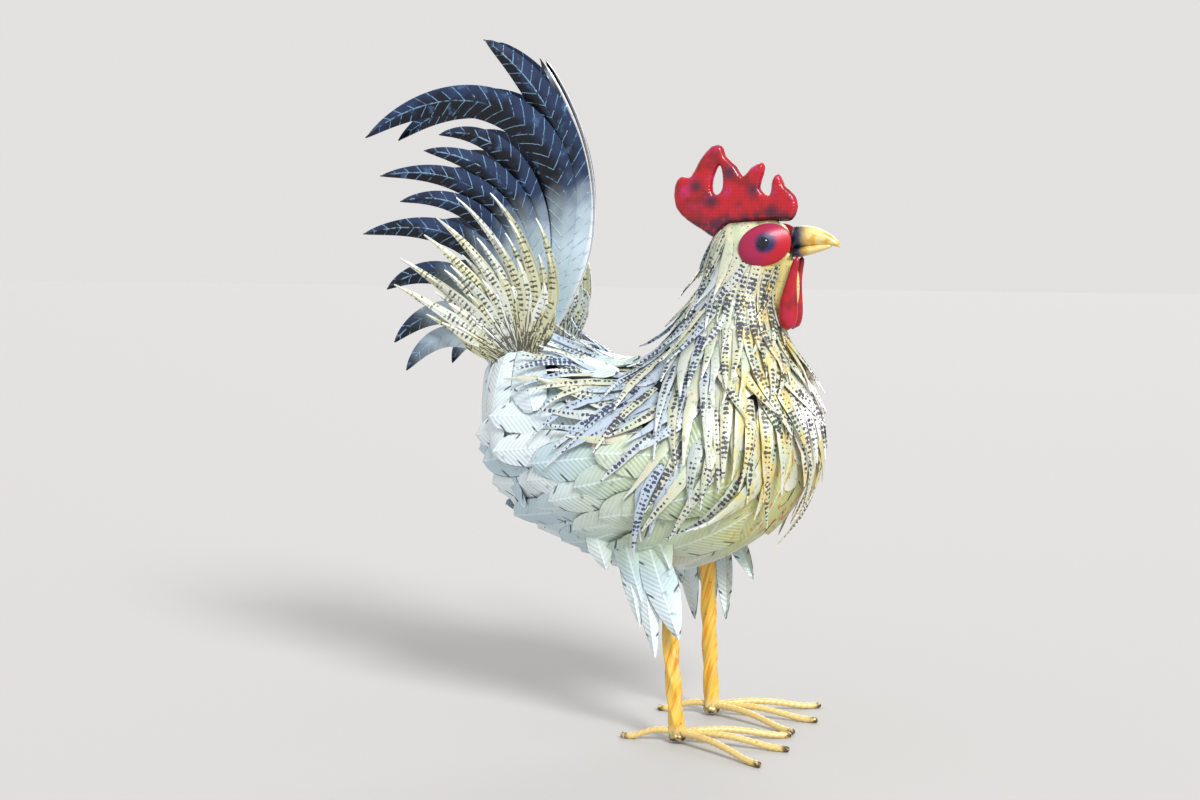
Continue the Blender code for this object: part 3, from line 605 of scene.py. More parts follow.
@dataclass(frozen=True)
class LeafPaint:
    """Pale blue leaves, green, yellow and streaked with orange at the front, embossed with slanted barbs, with
    painted shade in the barbs' grooves and along the edges and a painted highlight on the midrib.
    """

    blue: tuple = shade(0.74, 0.83, 0.87)
    white: tuple = shade(0.88, 0.93, 0.95)
    green: tuple = shade(0.73, 0.79, 0.64)
    yellow: tuple = shade(0.80, 0.79, 0.48)
    orange: tuple = shade(0.78, 0.52, 0.20)
    dark: tuple = shade(0.13, 0.17, 0.24)
    barb: float = 4.8
    slant: float = 0.85
    nick: float = 31.0

    def make(self) -> Material:
        """The material for every barbed leaf."""
        mix = Recipe("leaf_paint", self.blue)
        x, _, z = mix.split(mix.place)
        across, along = mix.sheet()
        tone, edge = mix.noted("tone", "edge")
        side = abs(across)
        wander = mix.noise(30.0)
        front = wander * 80.0 + x
        mix.cover(tone.step(0.2, 0.8), self.white)
        under = z.step(140.0, 190.0).larger(x.step(20.0, 45.0))
        mix.cover(front.step(-90.0, 30.0) * under * 0.85, self.green)
        mix.cover(front.step(50.0, 120.0) * 0.75, self.yellow)
        mix.cover(mix.noise((6.0, 6.0, 24.0)).step(0.54, 0.66) * front.step(75.0, 125.0), self.orange)
        mix.cover(z.step(158.0, 128.0) * 0.7, self.white)
        phase = side * self.slant + along
        barbs = phase.wave(self.barb)
        rib = side.step(1.5, 0.5)
        # Painted shade in the barbs' grooves, off the midrib; depth sets how dark it is.
        depth = mix.noise(12.0).step(0.42, 0.62) * 0.09 + 0.05
        mix.cover(barbs.step(0.75, 0.0) * (1.0 - rib) * depth, self.dark)
        # Painted highlight: the raised midrib is lightened.
        mix.cover(rib * 0.5, self.white)
        slit = (tone * 31.0 + phase).wave(self.nick).step(0.90, 0.95) * edge.step(0.55, 0.70)
        # Painted shade: a broken dark line along each leaf's edge.
        edge_shade = edge.step(0.93, 0.99) * mix.noise(20.0).step(0.46, 0.54)
        smudge = mix.noise(9.0).step(0.62, 0.78) * 0.5
        # Dark nicks at the edges, painted edge shade and dirt smudges, in one dark paint.
        mix.cover(slit.larger(edge_shade).larger(smudge) * 0.85, self.dark)
        mix.relief(barbs.step(0.0, 1.0) + rib * 0.9, 0.45, 0.6)
        return mix.finish(wander * 0.25 + 0.30, 0.2)


@dataclass(frozen=True)
class SicklePaint:
    """Navy sickles with light chevrons and a midrib, airbrushed to pale blue at the root, with a painted white
    highlight along one edge of the innermost pair.
    """

    sheen: tuple = shade(0.13, 0.20, 0.33)
    navy: tuple = shade(0.06, 0.07, 0.11)
    line: tuple = shade(0.48, 0.64, 0.78)
    rubbed: tuple = shade(0.32, 0.45, 0.62)
    pale: tuple = shade(0.80, 0.88, 0.93)
    white: tuple = shade(0.95, 0.95, 0.95)
    chevron: float = 12.5

    def make(self) -> Material:
        """The material for every tall tail feather."""
        mix = Recipe("sickle_paint", self.navy)
        across, along = mix.sheet()
        reach, hand, below, rim = mix.noted("rest", "hand", "below", "rim")
        side = abs(across)
        wander = mix.noise(26.0)
        mix.cover((wander - across * hand * 0.022).step(0.42, 0.70), self.sheen)
        mix.cover(mix.noise(12.0, 5.0).step(0.58, 0.70) * 0.5, self.rubbed)
        ragged = mix.noise(3.0) * 1.6 - 0.8
        line = (along - side + ragged).wave(self.chevron).step(0.87, 0.95) * reach.step(0.985, 0.95)
        rib = (side + ragged).step(0.9, 0.3) * reach.step(0.6, 0.8) * reach.step(0.975, 0.94)
        mark = line.larger(rib) * mix.noise(7.0).step(0.36, 0.54)
        mix.cover(mark * 0.85, self.line)
        mix.cover((wander * 50.0 + below).step(150.0, 85.0), mix.mix(mark * 0.3, self.pale, self.rubbed))
        # Painted highlight: a white strip along one edge of the innermost pair.
        mix.cover(rim, self.white)
        mix.relief(mark, 0.6, 0.8)
        return mix.finish(wander * 0.2 + 0.26, 0.35)


@dataclass(frozen=True)
class CovertPaint:
    """Pale yellow-green fingers with dark speckles and scratches towards their roots."""

    green: tuple = shade(0.77, 0.77, 0.64)
    pale: tuple = shade(0.85, 0.87, 0.84)
    dark: tuple = shade(0.14, 0.12, 0.09)
    pitch: float = 4.6

    def make(self) -> Material:
        """The material for the fingers and plates over the tail's root."""
        mix = Recipe("covert_paint", self.green)
        across, along = mix.sheet()
        share, tone, plate = mix.noted("along", "tone", "plain")
        mix.cover(tone.step(0.3, 0.9), self.pale)
        mix.cover(share.step(0.7, 1.0), self.pale)
        speck = mix.cells(3.0).step(0.42, 0.30) * mix.noise(11.0).step(0.30, 0.5)
        bars = (mix.noise(3.0) * 4.0 + along).wave(self.pitch).step(0.45, 0.70) * share.step(0.95, 0.7)
        bars = bars * mix.noise(8.0).step(0.40, 0.52) * abs(across).step(4.0, 2.6)
        grain = mix.noise(1.3, 3.0, mix.bring(across, along * 0.12, tone))
        scratch = (grain + along.step(44.0, 8.0) * 0.10).step(0.50, 0.64) * along.step(56.0, 34.0)
        mark = (scratch.larger(speck) * plate).larger(bars * (1.0 - plate))
        mix.cover(mark * 0.88, self.dark)
        mix.relief(abs(across).step(1.2, 0.4) - mark * 0.7, 0.5, 0.7)
        return mix.finish(0.42, 0.2)


@dataclass(frozen=True)
class RedEnamel:
    """Glossy red over hammered sheet, with a painted magenta sheen, blue-black smudges in the hollows and painted
    shadow along the comb's underside.
    """

    red: tuple = shade(0.70, 0.01, 0.10)
    deep: tuple = shade(0.54, 0.01, 0.07)
    magenta: tuple = shade(0.74, 0.11, 0.38)
    smudge: tuple = shade(0.12, 0.06, 0.18)
    pocket: float = 3.0

    def make(self) -> Material:
        """The material for the comb and the wattles."""
        mix = Recipe("red_enamel", self.deep)
        x, _, z = mix.split(mix.place)
        hollow, under, beaten, upper = mix.noted("hollow", "under", "beaten", "upper")
        mix.cover(mix.noise(14.0).step(0.35, 0.6), self.red)
        # Painted sheen: magenta laid over the red, more of it towards the comb's top.
        mix.cover(mix.noise(12.0).step(0.48, 0.68) * upper * 0.8, self.magenta)
        # Blue-black smudges in the notches, and painted shadow along the comb's underside in the same blue-black.
        mix.cover(hollow.larger(under * mix.noise(9.0).step(0.30, 0.55)) * 0.85, self.smudge)
        mix.relief(mix.cells(self.pocket, 0.25, mix.bring(x, 0.0, z)).step(0.0, 0.55) * beaten, 0.45, 0.6)
        return mix.finish(0.30, 0.1, 0.35)


@dataclass(frozen=True)
class FacePaint:
    """Smooth gloss that goes from magenta behind to red in front, with a dark blue ring round the eye."""

    red: tuple = shade(0.72, 0.04, 0.12)
    magenta: tuple = shade(0.62, 0.08, 0.27)
    ring: tuple = shade(0.10, 0.12, 0.32)
    eye: tuple = (71.0, 450.0)
    halo: tuple = (11.5, 6.0)

    def make(self) -> Material:
        """The material for the face patches."""
        mix = Recipe("face_paint", self.magenta)
        x, _, z = mix.split(mix.place)
        mix.cover((mix.noise(12.0) * 16.0 + x - z * 0.7).step(-236.0, -218.0), self.red)
        mix.cover(far(x - self.eye[0], z - self.eye[1]).step(*self.halo), self.ring)
        return mix.finish(0.42, 0.1, 0.12)


@dataclass(frozen=True)
class HeadPaint:
    """Cream sheet over crown, cheeks and chin with fine dark speckles, smudged green-black by the beak and
    darkened along the top as painted shadow under the comb.
    """

    cream: tuple = shade(0.86, 0.86, 0.74)
    green: tuple = shade(0.74, 0.79, 0.66)
    yellow: tuple = shade(0.86, 0.80, 0.50)
    dark: tuple = shade(0.13, 0.15, 0.14)
    beak_root: tuple = (90.0, 452.0)

    def make(self) -> Material:
        """The material for the sheet under the comb and round the face."""
        mix = Recipe("head_paint", self.cream)
        x, _, z = mix.split(mix.place)
        mix.cover(mix.noise(18.0).step(0.4, 0.62), self.green)
        mix.cover(x.step(50.0, 78.0) * 0.85, self.yellow)
        speck = mix.cells(2.9).step(0.30, 0.2) * mix.noise(8.0).step(0.4, 0.58)
        ragged = mix.noise(5.0) * 9.0 + far(x - self.beak_root[0], z - self.beak_root[1])
        # Painted shadow: the top of the head is darkened along the comb's base.
        crown = (mix.noise(6.0) * 6.0 + z).step(467.0, 472.0) * 0.9
        mix.cover(speck.larger(ragged.step(18.0, 10.0)).larger(crown) * 0.9, self.dark)
        mix.relief(mix.noise(5.0), 0.5, 0.5)
        return mix.finish(0.4, 0.15)


@dataclass(frozen=True)
class BeakPaint:
    """Cream-yellow horn that is blue-black where it leaves the face."""

    horn: tuple = shade(0.92, 0.82, 0.55)
    orange: tuple = shade(0.87, 0.68, 0.26)
    dark: tuple = shade(0.11, 0.14, 0.24)

    def make(self) -> Material:
        """The material for both halves of the beak."""
        mix = Recipe("beak_paint", self.horn)
        x, _, _ = mix.split(mix.place)
        wander = mix.noise(7.0)
        mix.cover(wander.step(0.45, 0.65), self.orange)
        mix.cover((wander * 6.0 + x).step(110.0, 97.0), self.dark)
        mix.relief(wander, 0.5, 0.5)
        return mix.finish(0.32, 0.15, 0.3)


@dataclass(frozen=True)
class LegPaint:
    """Yellow bar and ribbed rod streaked with orange, blackened where they are welded together."""

    yellow: tuple = shade(0.90, 0.74, 0.30)
    cream: tuple = shade(0.88, 0.79, 0.54)
    orange: tuple = shade(0.86, 0.56, 0.14)
    black: tuple = shade(0.12, 0.10, 0.10)
    weld: tuple = (22.0, 13.0)
    streak_slant: float = -0.28

    def make(self) -> Material:
        """The material for the legs and toes."""
        mix = Recipe("leg_paint", self.yellow)
        x, y, z = mix.split(mix.place)
        streaks = mix.noise((2.6, 6.0, 60.0), 2.0, mix.bring(z * self.streak_slant + x, y, z))
        mix.cover(streaks.step(0.50, 0.66), self.orange)
        mix.cover(streaks.step(0.46, 0.34) * 0.7, self.cream)
        mix.cover(z.step(19.0, 11.0) * 0.8, self.cream)
        weld = (mix.noise(4.0) * 14.0 + far(x, abs(y) - LEG_OUT, z)).step(*self.weld)
        scuff = mix.noise(6.0, 4.0).step(0.68, 0.75) * 0.6
        tip = mix.noted("tip") * mix.noise(4.0).step(0.35, 0.5)
        mix.cover(weld.larger(scuff).larger(tip), self.black)
        mix.relief(streaks, 0.4, 0.4)
        return mix.finish(0.38, 0.2)


@dataclass(frozen=True)
class PlainPaint:
    """One even colour, as on the core, the eyes and the floor."""

    name: str
    colour: tuple
    roughness: float
    metallic: float = 0.0
    coat: float = 0.0

    def make(self) -> Material:
        """The even material."""
        return Recipe(self.name, self.colour).finish(self.roughness, self.metallic, self.coat)


class Finish(Enum):
    """Every finish on the statue, with the record's name for it."""

    STRIP = (StripPaint(), "hackle_paint")
    LEAF = (LeafPaint(), "leaf_paint")
    SICKLE = (SicklePaint(), "sickle_paint")
    COVERT = (CovertPaint(), "covert_paint")
    ENAMEL = (RedEnamel(), "red_paint")
    FACE = (FacePaint(), "red_paint")
    HEAD = (HeadPaint(), "hackle_paint")
    BEAK = (BeakPaint(), "beak_paint")
    LEG = (LegPaint(), "leg_paint")
    CORE = (PlainPaint("core_paint", shade(0.13, 0.14, 0.16), 0.6, 0.3), "dark_core")
    EYE = (PlainPaint("eye_gloss", shade(0.02, 0.04, 0.12), 0.12, 0.0, 0.2), "eye_gloss")
    FLOOR = (PlainPaint("floor", shade(0.7235, 0.7185, 0.7135), 0.9), "")


class Paints:
    """The materials, each made once."""

    def __init__(self) -> None:
        """Starts with nothing mixed."""
        self.mixed: dict[Finish, Material] = {}

    def coat(self, piece: Piece, finish: Finish) -> None:
        """Gives a piece one finish alone.

        Args:
            piece: The piece.
            finish: Its paint.
        """
        if finish not in self.mixed:
            self.mixed[finish] = finish.value[0].make()
        piece.data.materials.clear()
        piece.data.materials.append(self.mixed[finish])

    def dress(self, piece: Piece, finish: Finish, angle: float, *nodes: str) -> None:
        """Paints a piece and puts it on the statue in place of the frame's nodes.

        Args:
            piece: The finished piece.
            finish: Its paint.
            angle: The widest turn between two faces that is shaded smooth, in degrees.
            *nodes: The nodes that it takes the place of.
        """
        Bench.soften(piece, angle)
        self.coat(piece, finish)
        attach(piece, "root")
        if nodes:
            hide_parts(*nodes)
        log.info("%s: %d faces", piece.name, len(piece.data.polygons))


@dataclass
class Course:
    """A line over the skin that a feather is bent along."""

    points: Array
    normals: Array

    def __post_init__(self) -> None:
        """Works out the distances and directions along the line."""
        self.lengths = distances(self.points)
        self.tangents = units(np.gradient(self.points, self.lengths, axis=0))
        inward = np.sum(self.normals * self.tangents, axis=1, keepdims=True)
        self.normals = units(self.normals - inward * self.tangents)

    @classmethod
    def beside(cls, points: Array, sign: int) -> "Course":
        """A line on one side of the statue, whose feather faces straight out to that side."""
        return cls(points, np.tile((0.0, float(sign), 0.0), (len(points), 1)))

    def carry(self, shape: Array, cup: float = 0.0, roll: float = 0.0, twist: float = 0.0) -> Array:
        """Bends a flat shape along the line.

        Args:
            shape: Places across, along and above the sheet, in millimetres.
            cup: How much the sheet curls round across, one over the radius.
            roll: How far it is turned about the line, in radians.
            twist: How much further its tip is turned, in radians.

        Returns:
            The bent places.
        """
        across, along, above = shape.T
        inside = np.clip(along, 0.0, self.lengths[-1])
        middle = read(self.points, self.lengths, inside)
        tangent = units(read(self.tangents, self.lengths, inside))
        normal = units(read(self.normals, self.lengths, inside))
        side = np.cross(tangent, normal)
        angle = (roll + twist * (along / max(along.max(), 1e-6)) ** 2)[:, None]
        turned = side * np.cos(angle) + normal * np.sin(angle)
        normal = normal * np.cos(angle) - side * np.sin(angle)
        above = above - cup * across * across / 2
        middle = middle + tangent * (along - inside)[:, None]
        return middle + turned * across[:, None] + normal * above[:, None]


@dataclass(frozen=True)
class Lift:
    """How far a feather stands off the skin on its way from root to tip."""

    base: float
    rise: float
    flare: float = 0.0
    over: float = 0.0
    over_within: float = 45.0

    def at(self, distance: float) -> float:
        """The gap under the feather at this distance from its root."""
        gap = self.base + self.rise * distance + self.flare * distance**2
        return gap + self.over * float(smooth(distance / self.over_within))


class Skin:
    """The core's smooth surface, in millimetres from the legs."""

    FINEST_PACE = 2.2
    PACES = 22
    NEVER = 1e9

    def __init__(self) -> None:
        """Smooths a copy of the core and reads its surface."""
        self.piece = Bench.copy(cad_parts["body"], "core")
        Bench.apply(self.piece, "SUBSURF", levels=2, render_levels=2)
        self.points = to_sizes(Bench.points(self.piece))
        self.normals = Bench.points(self.piece, "normal")
        self.faces = Bench.faces(self.piece)
        self.tree = Bench.surface(self.points, self.faces)
        self.inner, self.outer = np.array(SECTIONS, float).transpose(1, 0, 2)
        Bench.soften(self.piece, 60.0)

    def nearest(self, point: Array) -> tuple[Array, Array]:
        """Looks for the skin near a place.

        Args:
            point: The place.

        Returns:
            The skin's nearest point and its smooth normal.
        """
        hit, _, index, _ = self.tree.find_nearest(Vector(point))
        hit = np.array(hit)
        corners = list(self.faces[index])
        weights = 1 / (np.linalg.norm(self.points[corners] - hit, axis=1) + 0.2)
        return hit, unit(weights @ self.normals[corners])

    def reach(self, start: Array, direction: Array) -> Array:
        """Where a line from inside the core leaves it, or its start if it doesn't."""
        hit = self.tree.ray_cast(Vector(start), Vector(direction))[0]
        return start if hit is None else np.array(hit)

    def section(self, place: float) -> tuple[Array, Array]:
        """Reads the core's middle line.

        Args:
            place: How far along it, counted in sections.

        Returns:
            The middle there, and the way from it to the throat or belly side.
        """
        marks = np.arange(len(SECTIONS))
        inner, outer = (read(side, marks, place) for side in (self.inner, self.outer))
        middle, half = (inner + outer) / 2, (outer - inner) / 2
        return np.array((middle[0], 0.0, middle[1])), np.array((half[0], 0.0, half[1]))

    def round(self, place: float, turn: float) -> Array:
        """The skin's point at this place along the core and this turn from its throat or belly."""
        middle, front = self.section(place)
        return self.reach(middle, unit(front) * math.cos(turn) + np.array((0, 1, 0)) * math.sin(turn))

    def course(self, start: Array, heading: Array, length: float, lift: Lift, bend: float = 0.0,
               free_from: float = NEVER) -> Course:
        """A line that runs over the skin from a point.

        Args:
            start: Where it starts.
            heading: Which way it sets off.
            length: How far it runs.
            lift: How far off the skin it is.
            bend: How fast it turns aside, in radians for each millimetre.
            free_from: The distance from which it leaves the skin and goes straight on.

        Returns:
            The line.
        """
        pace = max(length / self.PACES, self.FINEST_PACE)
        point, normal = self.nearest(start)
        ahead = unit(heading)
        points, normals = [], []
        distance = 0.0
        while distance < length + pace:
            ahead = unit(ahead - normal * (ahead @ normal))
            points.append(point + normal * lift.at(distance))
            normals.append(normal)
            ahead = unit(ahead + np.cross(ahead, normal) * bend * pace)
            point = point + ahead * pace
            if distance < free_from:
                point, normal = self.nearest(point)
            distance += pace
        normals = np.array(normals)
        for _ in range(2):
            normals[1:-1] = units(normals[:-2] + 2 * normals[1:-1] + normals[2:])
        return Course(np.array(points), normals)


@dataclass
class Pattern:
    """A cut feather, modelled flat once and copied for every place it is used.

    Its outline takes places along it, and its relief takes places across and along. Across runs from -1 to 1
    between the edges, along from 0 at the root to 1 at the tip, and the relief is in millimetres. Its rows crowd
    towards the tip.
    """

    name: str
    columns: int
    rows: int
    outline: Callable[[Array], Array]
    relief: Callable[[Array, Array], Array]
    crowd: float = 1.35

    def __post_init__(self) -> None:
        """Cuts the sheet to its outline."""
        self.piece = Bench.grid(self.name, self.columns, self.rows)
        self.across, along, level = Bench.points(self.piece).T
        self.along = 1 - (1 - along) ** self.crowd
        self.flat = np.stack((self.across * self.outline(self.along), self.along, level), axis=1)

    def cut(self, width: float, length: float, name: str) -> tuple[Piece, Array]:
        """A copy before it is bent.

        Args:
            width: The width in millimetres.
            length: The length in millimetres.
            name: The copy's name.

        Returns:
            The copy and its flat places in millimetres, with its relief.
        """
        above = self.relief(self.across * 2, self.along)
        return Bench.double(self.piece, name), self.flat * (width, length, 0) + above[:, None] * (0, 0, 1)


class Plumage:
    """Lays copies of cut feathers and welds them into the pieces that take the place of the frame's rows."""

    THICKNESS = 0.7
    SEED = 21

    def __init__(self, skin: Skin, paints: Paints) -> None:
        """Starts with no feather laid.

        Args:
            skin: The surface that feathers lie on.
            paints: The materials.
        """
        self.skin = skin
        self.paints = paints
        self.laid: dict[str, list[Piece]] = {}
        self.patterns: dict[str, Piece] = {}
        self.random = random.Random(self.SEED)

    def lay(self, node: str, pattern: Pattern, course: Course, width: float, length: float,
            cup: float = 0.0, roll: float = 0.0, twist: float = 0.0, plain: float = 0.0) -> None:
        """Cuts one feather and bends it along a line.

        Args:
            node: The frame's row that it belongs to.
            pattern: Which feather it is.
            course: The line it follows.
            width: Its width in millimetres.
            length: Its length in millimetres.
            cup: How much it curls round across.
            roll: How far it is turned about its midrib, in degrees.
            twist: How much further its tip is turned, in degrees.
            plain: 1 for a plate that has no rows of spots.
        """
        batch = self.laid.setdefault(node, [])
        piece, flat = pattern.cut(width, length, f"{node}_{len(batch)}")
        Bench.move(piece, to_scene(course.carry(flat, cup, math.radians(roll), math.radians(twist))))
        Bench.unwrap(piece, flat)
        edge = np.abs(pattern.across) * 2
        Bench.note(piece, along=pattern.along, edge=edge, plain=plain, tone=self.random.random())
        batch.append(piece)
        self.patterns[pattern.name] = pattern.piece

    def weld(self, finish: Finish) -> None:
        """Joins what was laid for each row, gives the sheet its thickness and dresses it.

        Args:
            finish: The paint.
        """
        for node, batch in self.laid.items():
            piece = Bench.join(batch, f"{node}_sheet")
            Bench.apply(piece, "SOLIDIFY", thickness=self.THICKNESS / 1000, offset=-1.0, use_rim=True)
            self.paints.dress(piece, finish, 35.0, node)
        for pattern in self.patterns.values():
            bpy.data.objects.remove(pattern)
        self.laid, self.patterns = {}, {}


def finger_outline(along: Array) -> Array:
    """A finger is widest a little below its root and tapers to a point."""
    return (0.75 + 0.25 * smooth(along / 0.2)) * (1 - 0.88 * ((along - 0.3) / 0.7).clip(0) ** 1.3)


def finger_relief(across: Array, along: Array) -> Array:
    """A finger is folded along its middle."""
    return 1.3 * (1 - np.abs(across)) * smooth(along / 0.2) * (1 - 0.5 * along)


def plate_relief(across: Array, along: Array) -> Array:
    """A plate is a little domed across."""
    return 0.8 * (1 - across**2) * smooth(along / 0.3)


def leaf_outline(along: Array) -> Array:
    """A leaf widens from its root and ends in a round tip."""
    tip = ((along - 0.55) / 0.455).clip(0) ** 2.2
    return (0.6 + 0.4 * smooth(along / 0.5)) * np.sqrt(np.clip(1 - tip, 0.01, 1))


def blade_outline(along: Array) -> Array:
    """A blade is a leaf with a pointed tip."""
    return (0.5 + 0.5 * smooth(along / 0.4)) * (1 - 0.93 * ((along - 0.5) / 0.5).clip(0) ** 1.7)


def leaf_relief(across: Array, along: Array) -> Array:
    """A leaf has a raised midrib and edges that curl in."""
    rib = np.exp(-((across / 0.16) ** 2))
    return (2.0 * (1 - across**2) + 0.9 * rib) * smooth(along / 0.15)


@dataclass
class Hackle:
    """The cape of long spotted fingers, cut three to a plate, from the nape over the shoulders and saddle."""

    plumage: Plumage
    rings: int = 12
    throat: tuple = (3.1, 7.9)
    nape: tuple = (0.3, 10.6)
    curl: tuple = (2.2, 1.0)
    lengths: tuple = (46.0, 98.0)
    cuts: tuple = (0.78, 0.88, 0.96, 1.0, 1.08, 1.18)
    widths: tuple = (9.0, 12.0)
    spacing: tuple = (9.6, 12.6)
    rise: tuple = (0.05, 0.13)
    nape_turn: float = math.sqrt(7.5)
    nape_rise: float = 0.12
    flare: float = 0.0004
    sway: float = 10.0
    part: float = 5.0
    drift: float = 1.2
    bend: float = 0.0065
    twists: tuple = (-35, -15, 0, 0, 15, 35)
    skipped: float = 0.08
    over_leaves: float = 6.5
    plate_share: tuple = (0.64, 0.50)
    plate_width: float = 3.1
    cup: float = 0.02
    collars: dict = field(default_factory=lambda: {
        "hackle_collar_1": 3.5, "hackle_collar_2": 4.7, "hackle_collar_3": 5.9, "hackle_collar_4": 7.3})

    def ring_place(self, share: float, turn: float) -> float:
        """The place along the core of a ring's root at this turn."""
        ends = (blend(self.throat, share), blend(self.nape, share))
        return blend(ends, ((1 - math.cos(turn)) / 2) ** blend(self.curl, share))

    def build(self) -> None:
        """Lays every plate and finger, ring by ring."""
        finger = Pattern("strip", 2, 9, finger_outline, finger_relief)
        plate = Pattern("strip_plate", 4, 6, leaf_outline, plate_relief)
        chance = self.plumage.random
        turns = np.linspace(-math.pi, math.pi, 73)
        for ring in range(self.rings):
            share = ring / (self.rings - 1)
            steps = distances([self.plumage.skin.round(self.ring_place(share, turn), turn) for turn in turns])
            count = 3 * int(steps[-1] / blend(self.spacing, share) / 3)
            stagger = 1.5 * (ring % 2)
            for index in range(count):
                along = (index + stagger + chance.uniform(-0.15, 0.15)) % count / count * steps[-1]
                if index % 3 == 0:
                    sway = chance.uniform(-self.sway, self.sway)
                    drift = chance.uniform(-self.drift, self.drift)
                    middle = (index + 1 + stagger) % count / count * steps[-1]
                    self.lay_plate(plate, share, float(np.interp(middle, steps, turns)), sway)
                if chance.random() > self.skipped:
                    turn = float(np.interp(along, steps, turns))
                    self.lay_finger(finger, share, turn, sway + self.part * (index % 3 - 1), drift)

    def set_off(self, share: float, turn: float, shift: float, sway: float) -> tuple[str, Array, Array]:
        """Finds a feather's start.

        Args:
            share: Which ring it is in, from 0 at the head to 1.
            turn: Its turn round the core, from the throat.
            shift: How far its root is moved along the core.
            sway: How far it sets off aside, in degrees.

        Returns:
            The frame's collar that it belongs to, its root and its heading.
        """
        skin = self.plumage.skin
        place = self.ring_place(share, turn) + shift
        start = skin.round(place, turn)
        heading = unit(skin.round(place + 0.4, turn) - start)
        _, normal = skin.nearest(start)
        sway = math.radians(sway + self.plumage.random.uniform(-3, 3))
        node = min(self.collars, key=lambda name: abs(self.collars[name] - blend(self.throat, share)))
        return node, start, heading * math.cos(sway) + np.cross(heading, normal) * math.sin(sway)

    def lay_plate(self, pattern: Pattern, share: float, turn: float, sway: float) -> None:
        """Lays the plate under three fingers.

        Args:
            pattern: Its pattern.
            share: Which ring it is in, from 0 at the head to 1.
            turn: Its turn round the core, from the throat.
            sway: How far it sets off aside, in degrees.
        """
        node, start, heading = self.set_off(share, turn, 0.0, sway)
        length = blend(self.lengths, share) * blend(self.plate_share, share)
        course = self.plumage.skin.course(start, heading, length, Lift(0.9, 0.06 + 0.05 * share))
        width = self.plate_width * blend(self.spacing, share)
        self.plumage.lay(node, pattern, course, width, length, self.cup, plain=1.0)

    def lay_finger(self, pattern: Pattern, share: float, turn: float, sway: float, drift: float) -> None:
        """Lays one finger.

        Args:
            pattern: Its pattern.
            share: Which ring it is in, from 0 at the head to 1.
            turn: Its turn round the core, from the throat.
            sway: How far it sets off aside, in degrees.
            drift: How much it bends aside on its way.
        """
        chance = self.plumage.random
        node, start, heading = self.set_off(share, turn, chance.uniform(-0.12, 0.12), sway)
        length = blend(self.lengths, share) * chance.choice(self.cuts)
        base = 1.7 + chance.uniform(0, 0.9)
        rise = chance.uniform(*self.rise)
        if abs(turn) > self.nape_turn and chance.random() < 0.3:
            rise += self.nape_rise
        lift = Lift(base, rise, self.flare, self.over_leaves * share * share)
        bend = (drift + chance.uniform(-0.5, 0.5)) * self.bend
        course = self.plumage.skin.course(start, heading, length, lift, bend)
        width = blend(self.widths, share) * chance.uniform(0.85, 1.1)
        roll = chance.uniform(-8, 8)
        self.plumage.lay(node, pattern, course, width, length, self.cup, roll, chance.choice(self.twists))


class RowFinder:
    """Finds which of the frame's rows lies nearest to a place."""

    def __init__(self, names: Sequence[str]) -> None:
        """Reads the rows' surfaces.

        Args:
            names: The frame's rows.
        """
        nodes = {name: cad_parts[name] for name in names}
        self.trees = {name: Bench.surface(to_sizes(Bench.points(node)), Bench.faces(node))
                      for name, node in nodes.items()}

    def nearest(self, point: Array) -> str:
        """The name of the row nearest to this place."""
        return min(self.trees, key=lambda name: self.trees[name].find_nearest(Vector(point))[3])


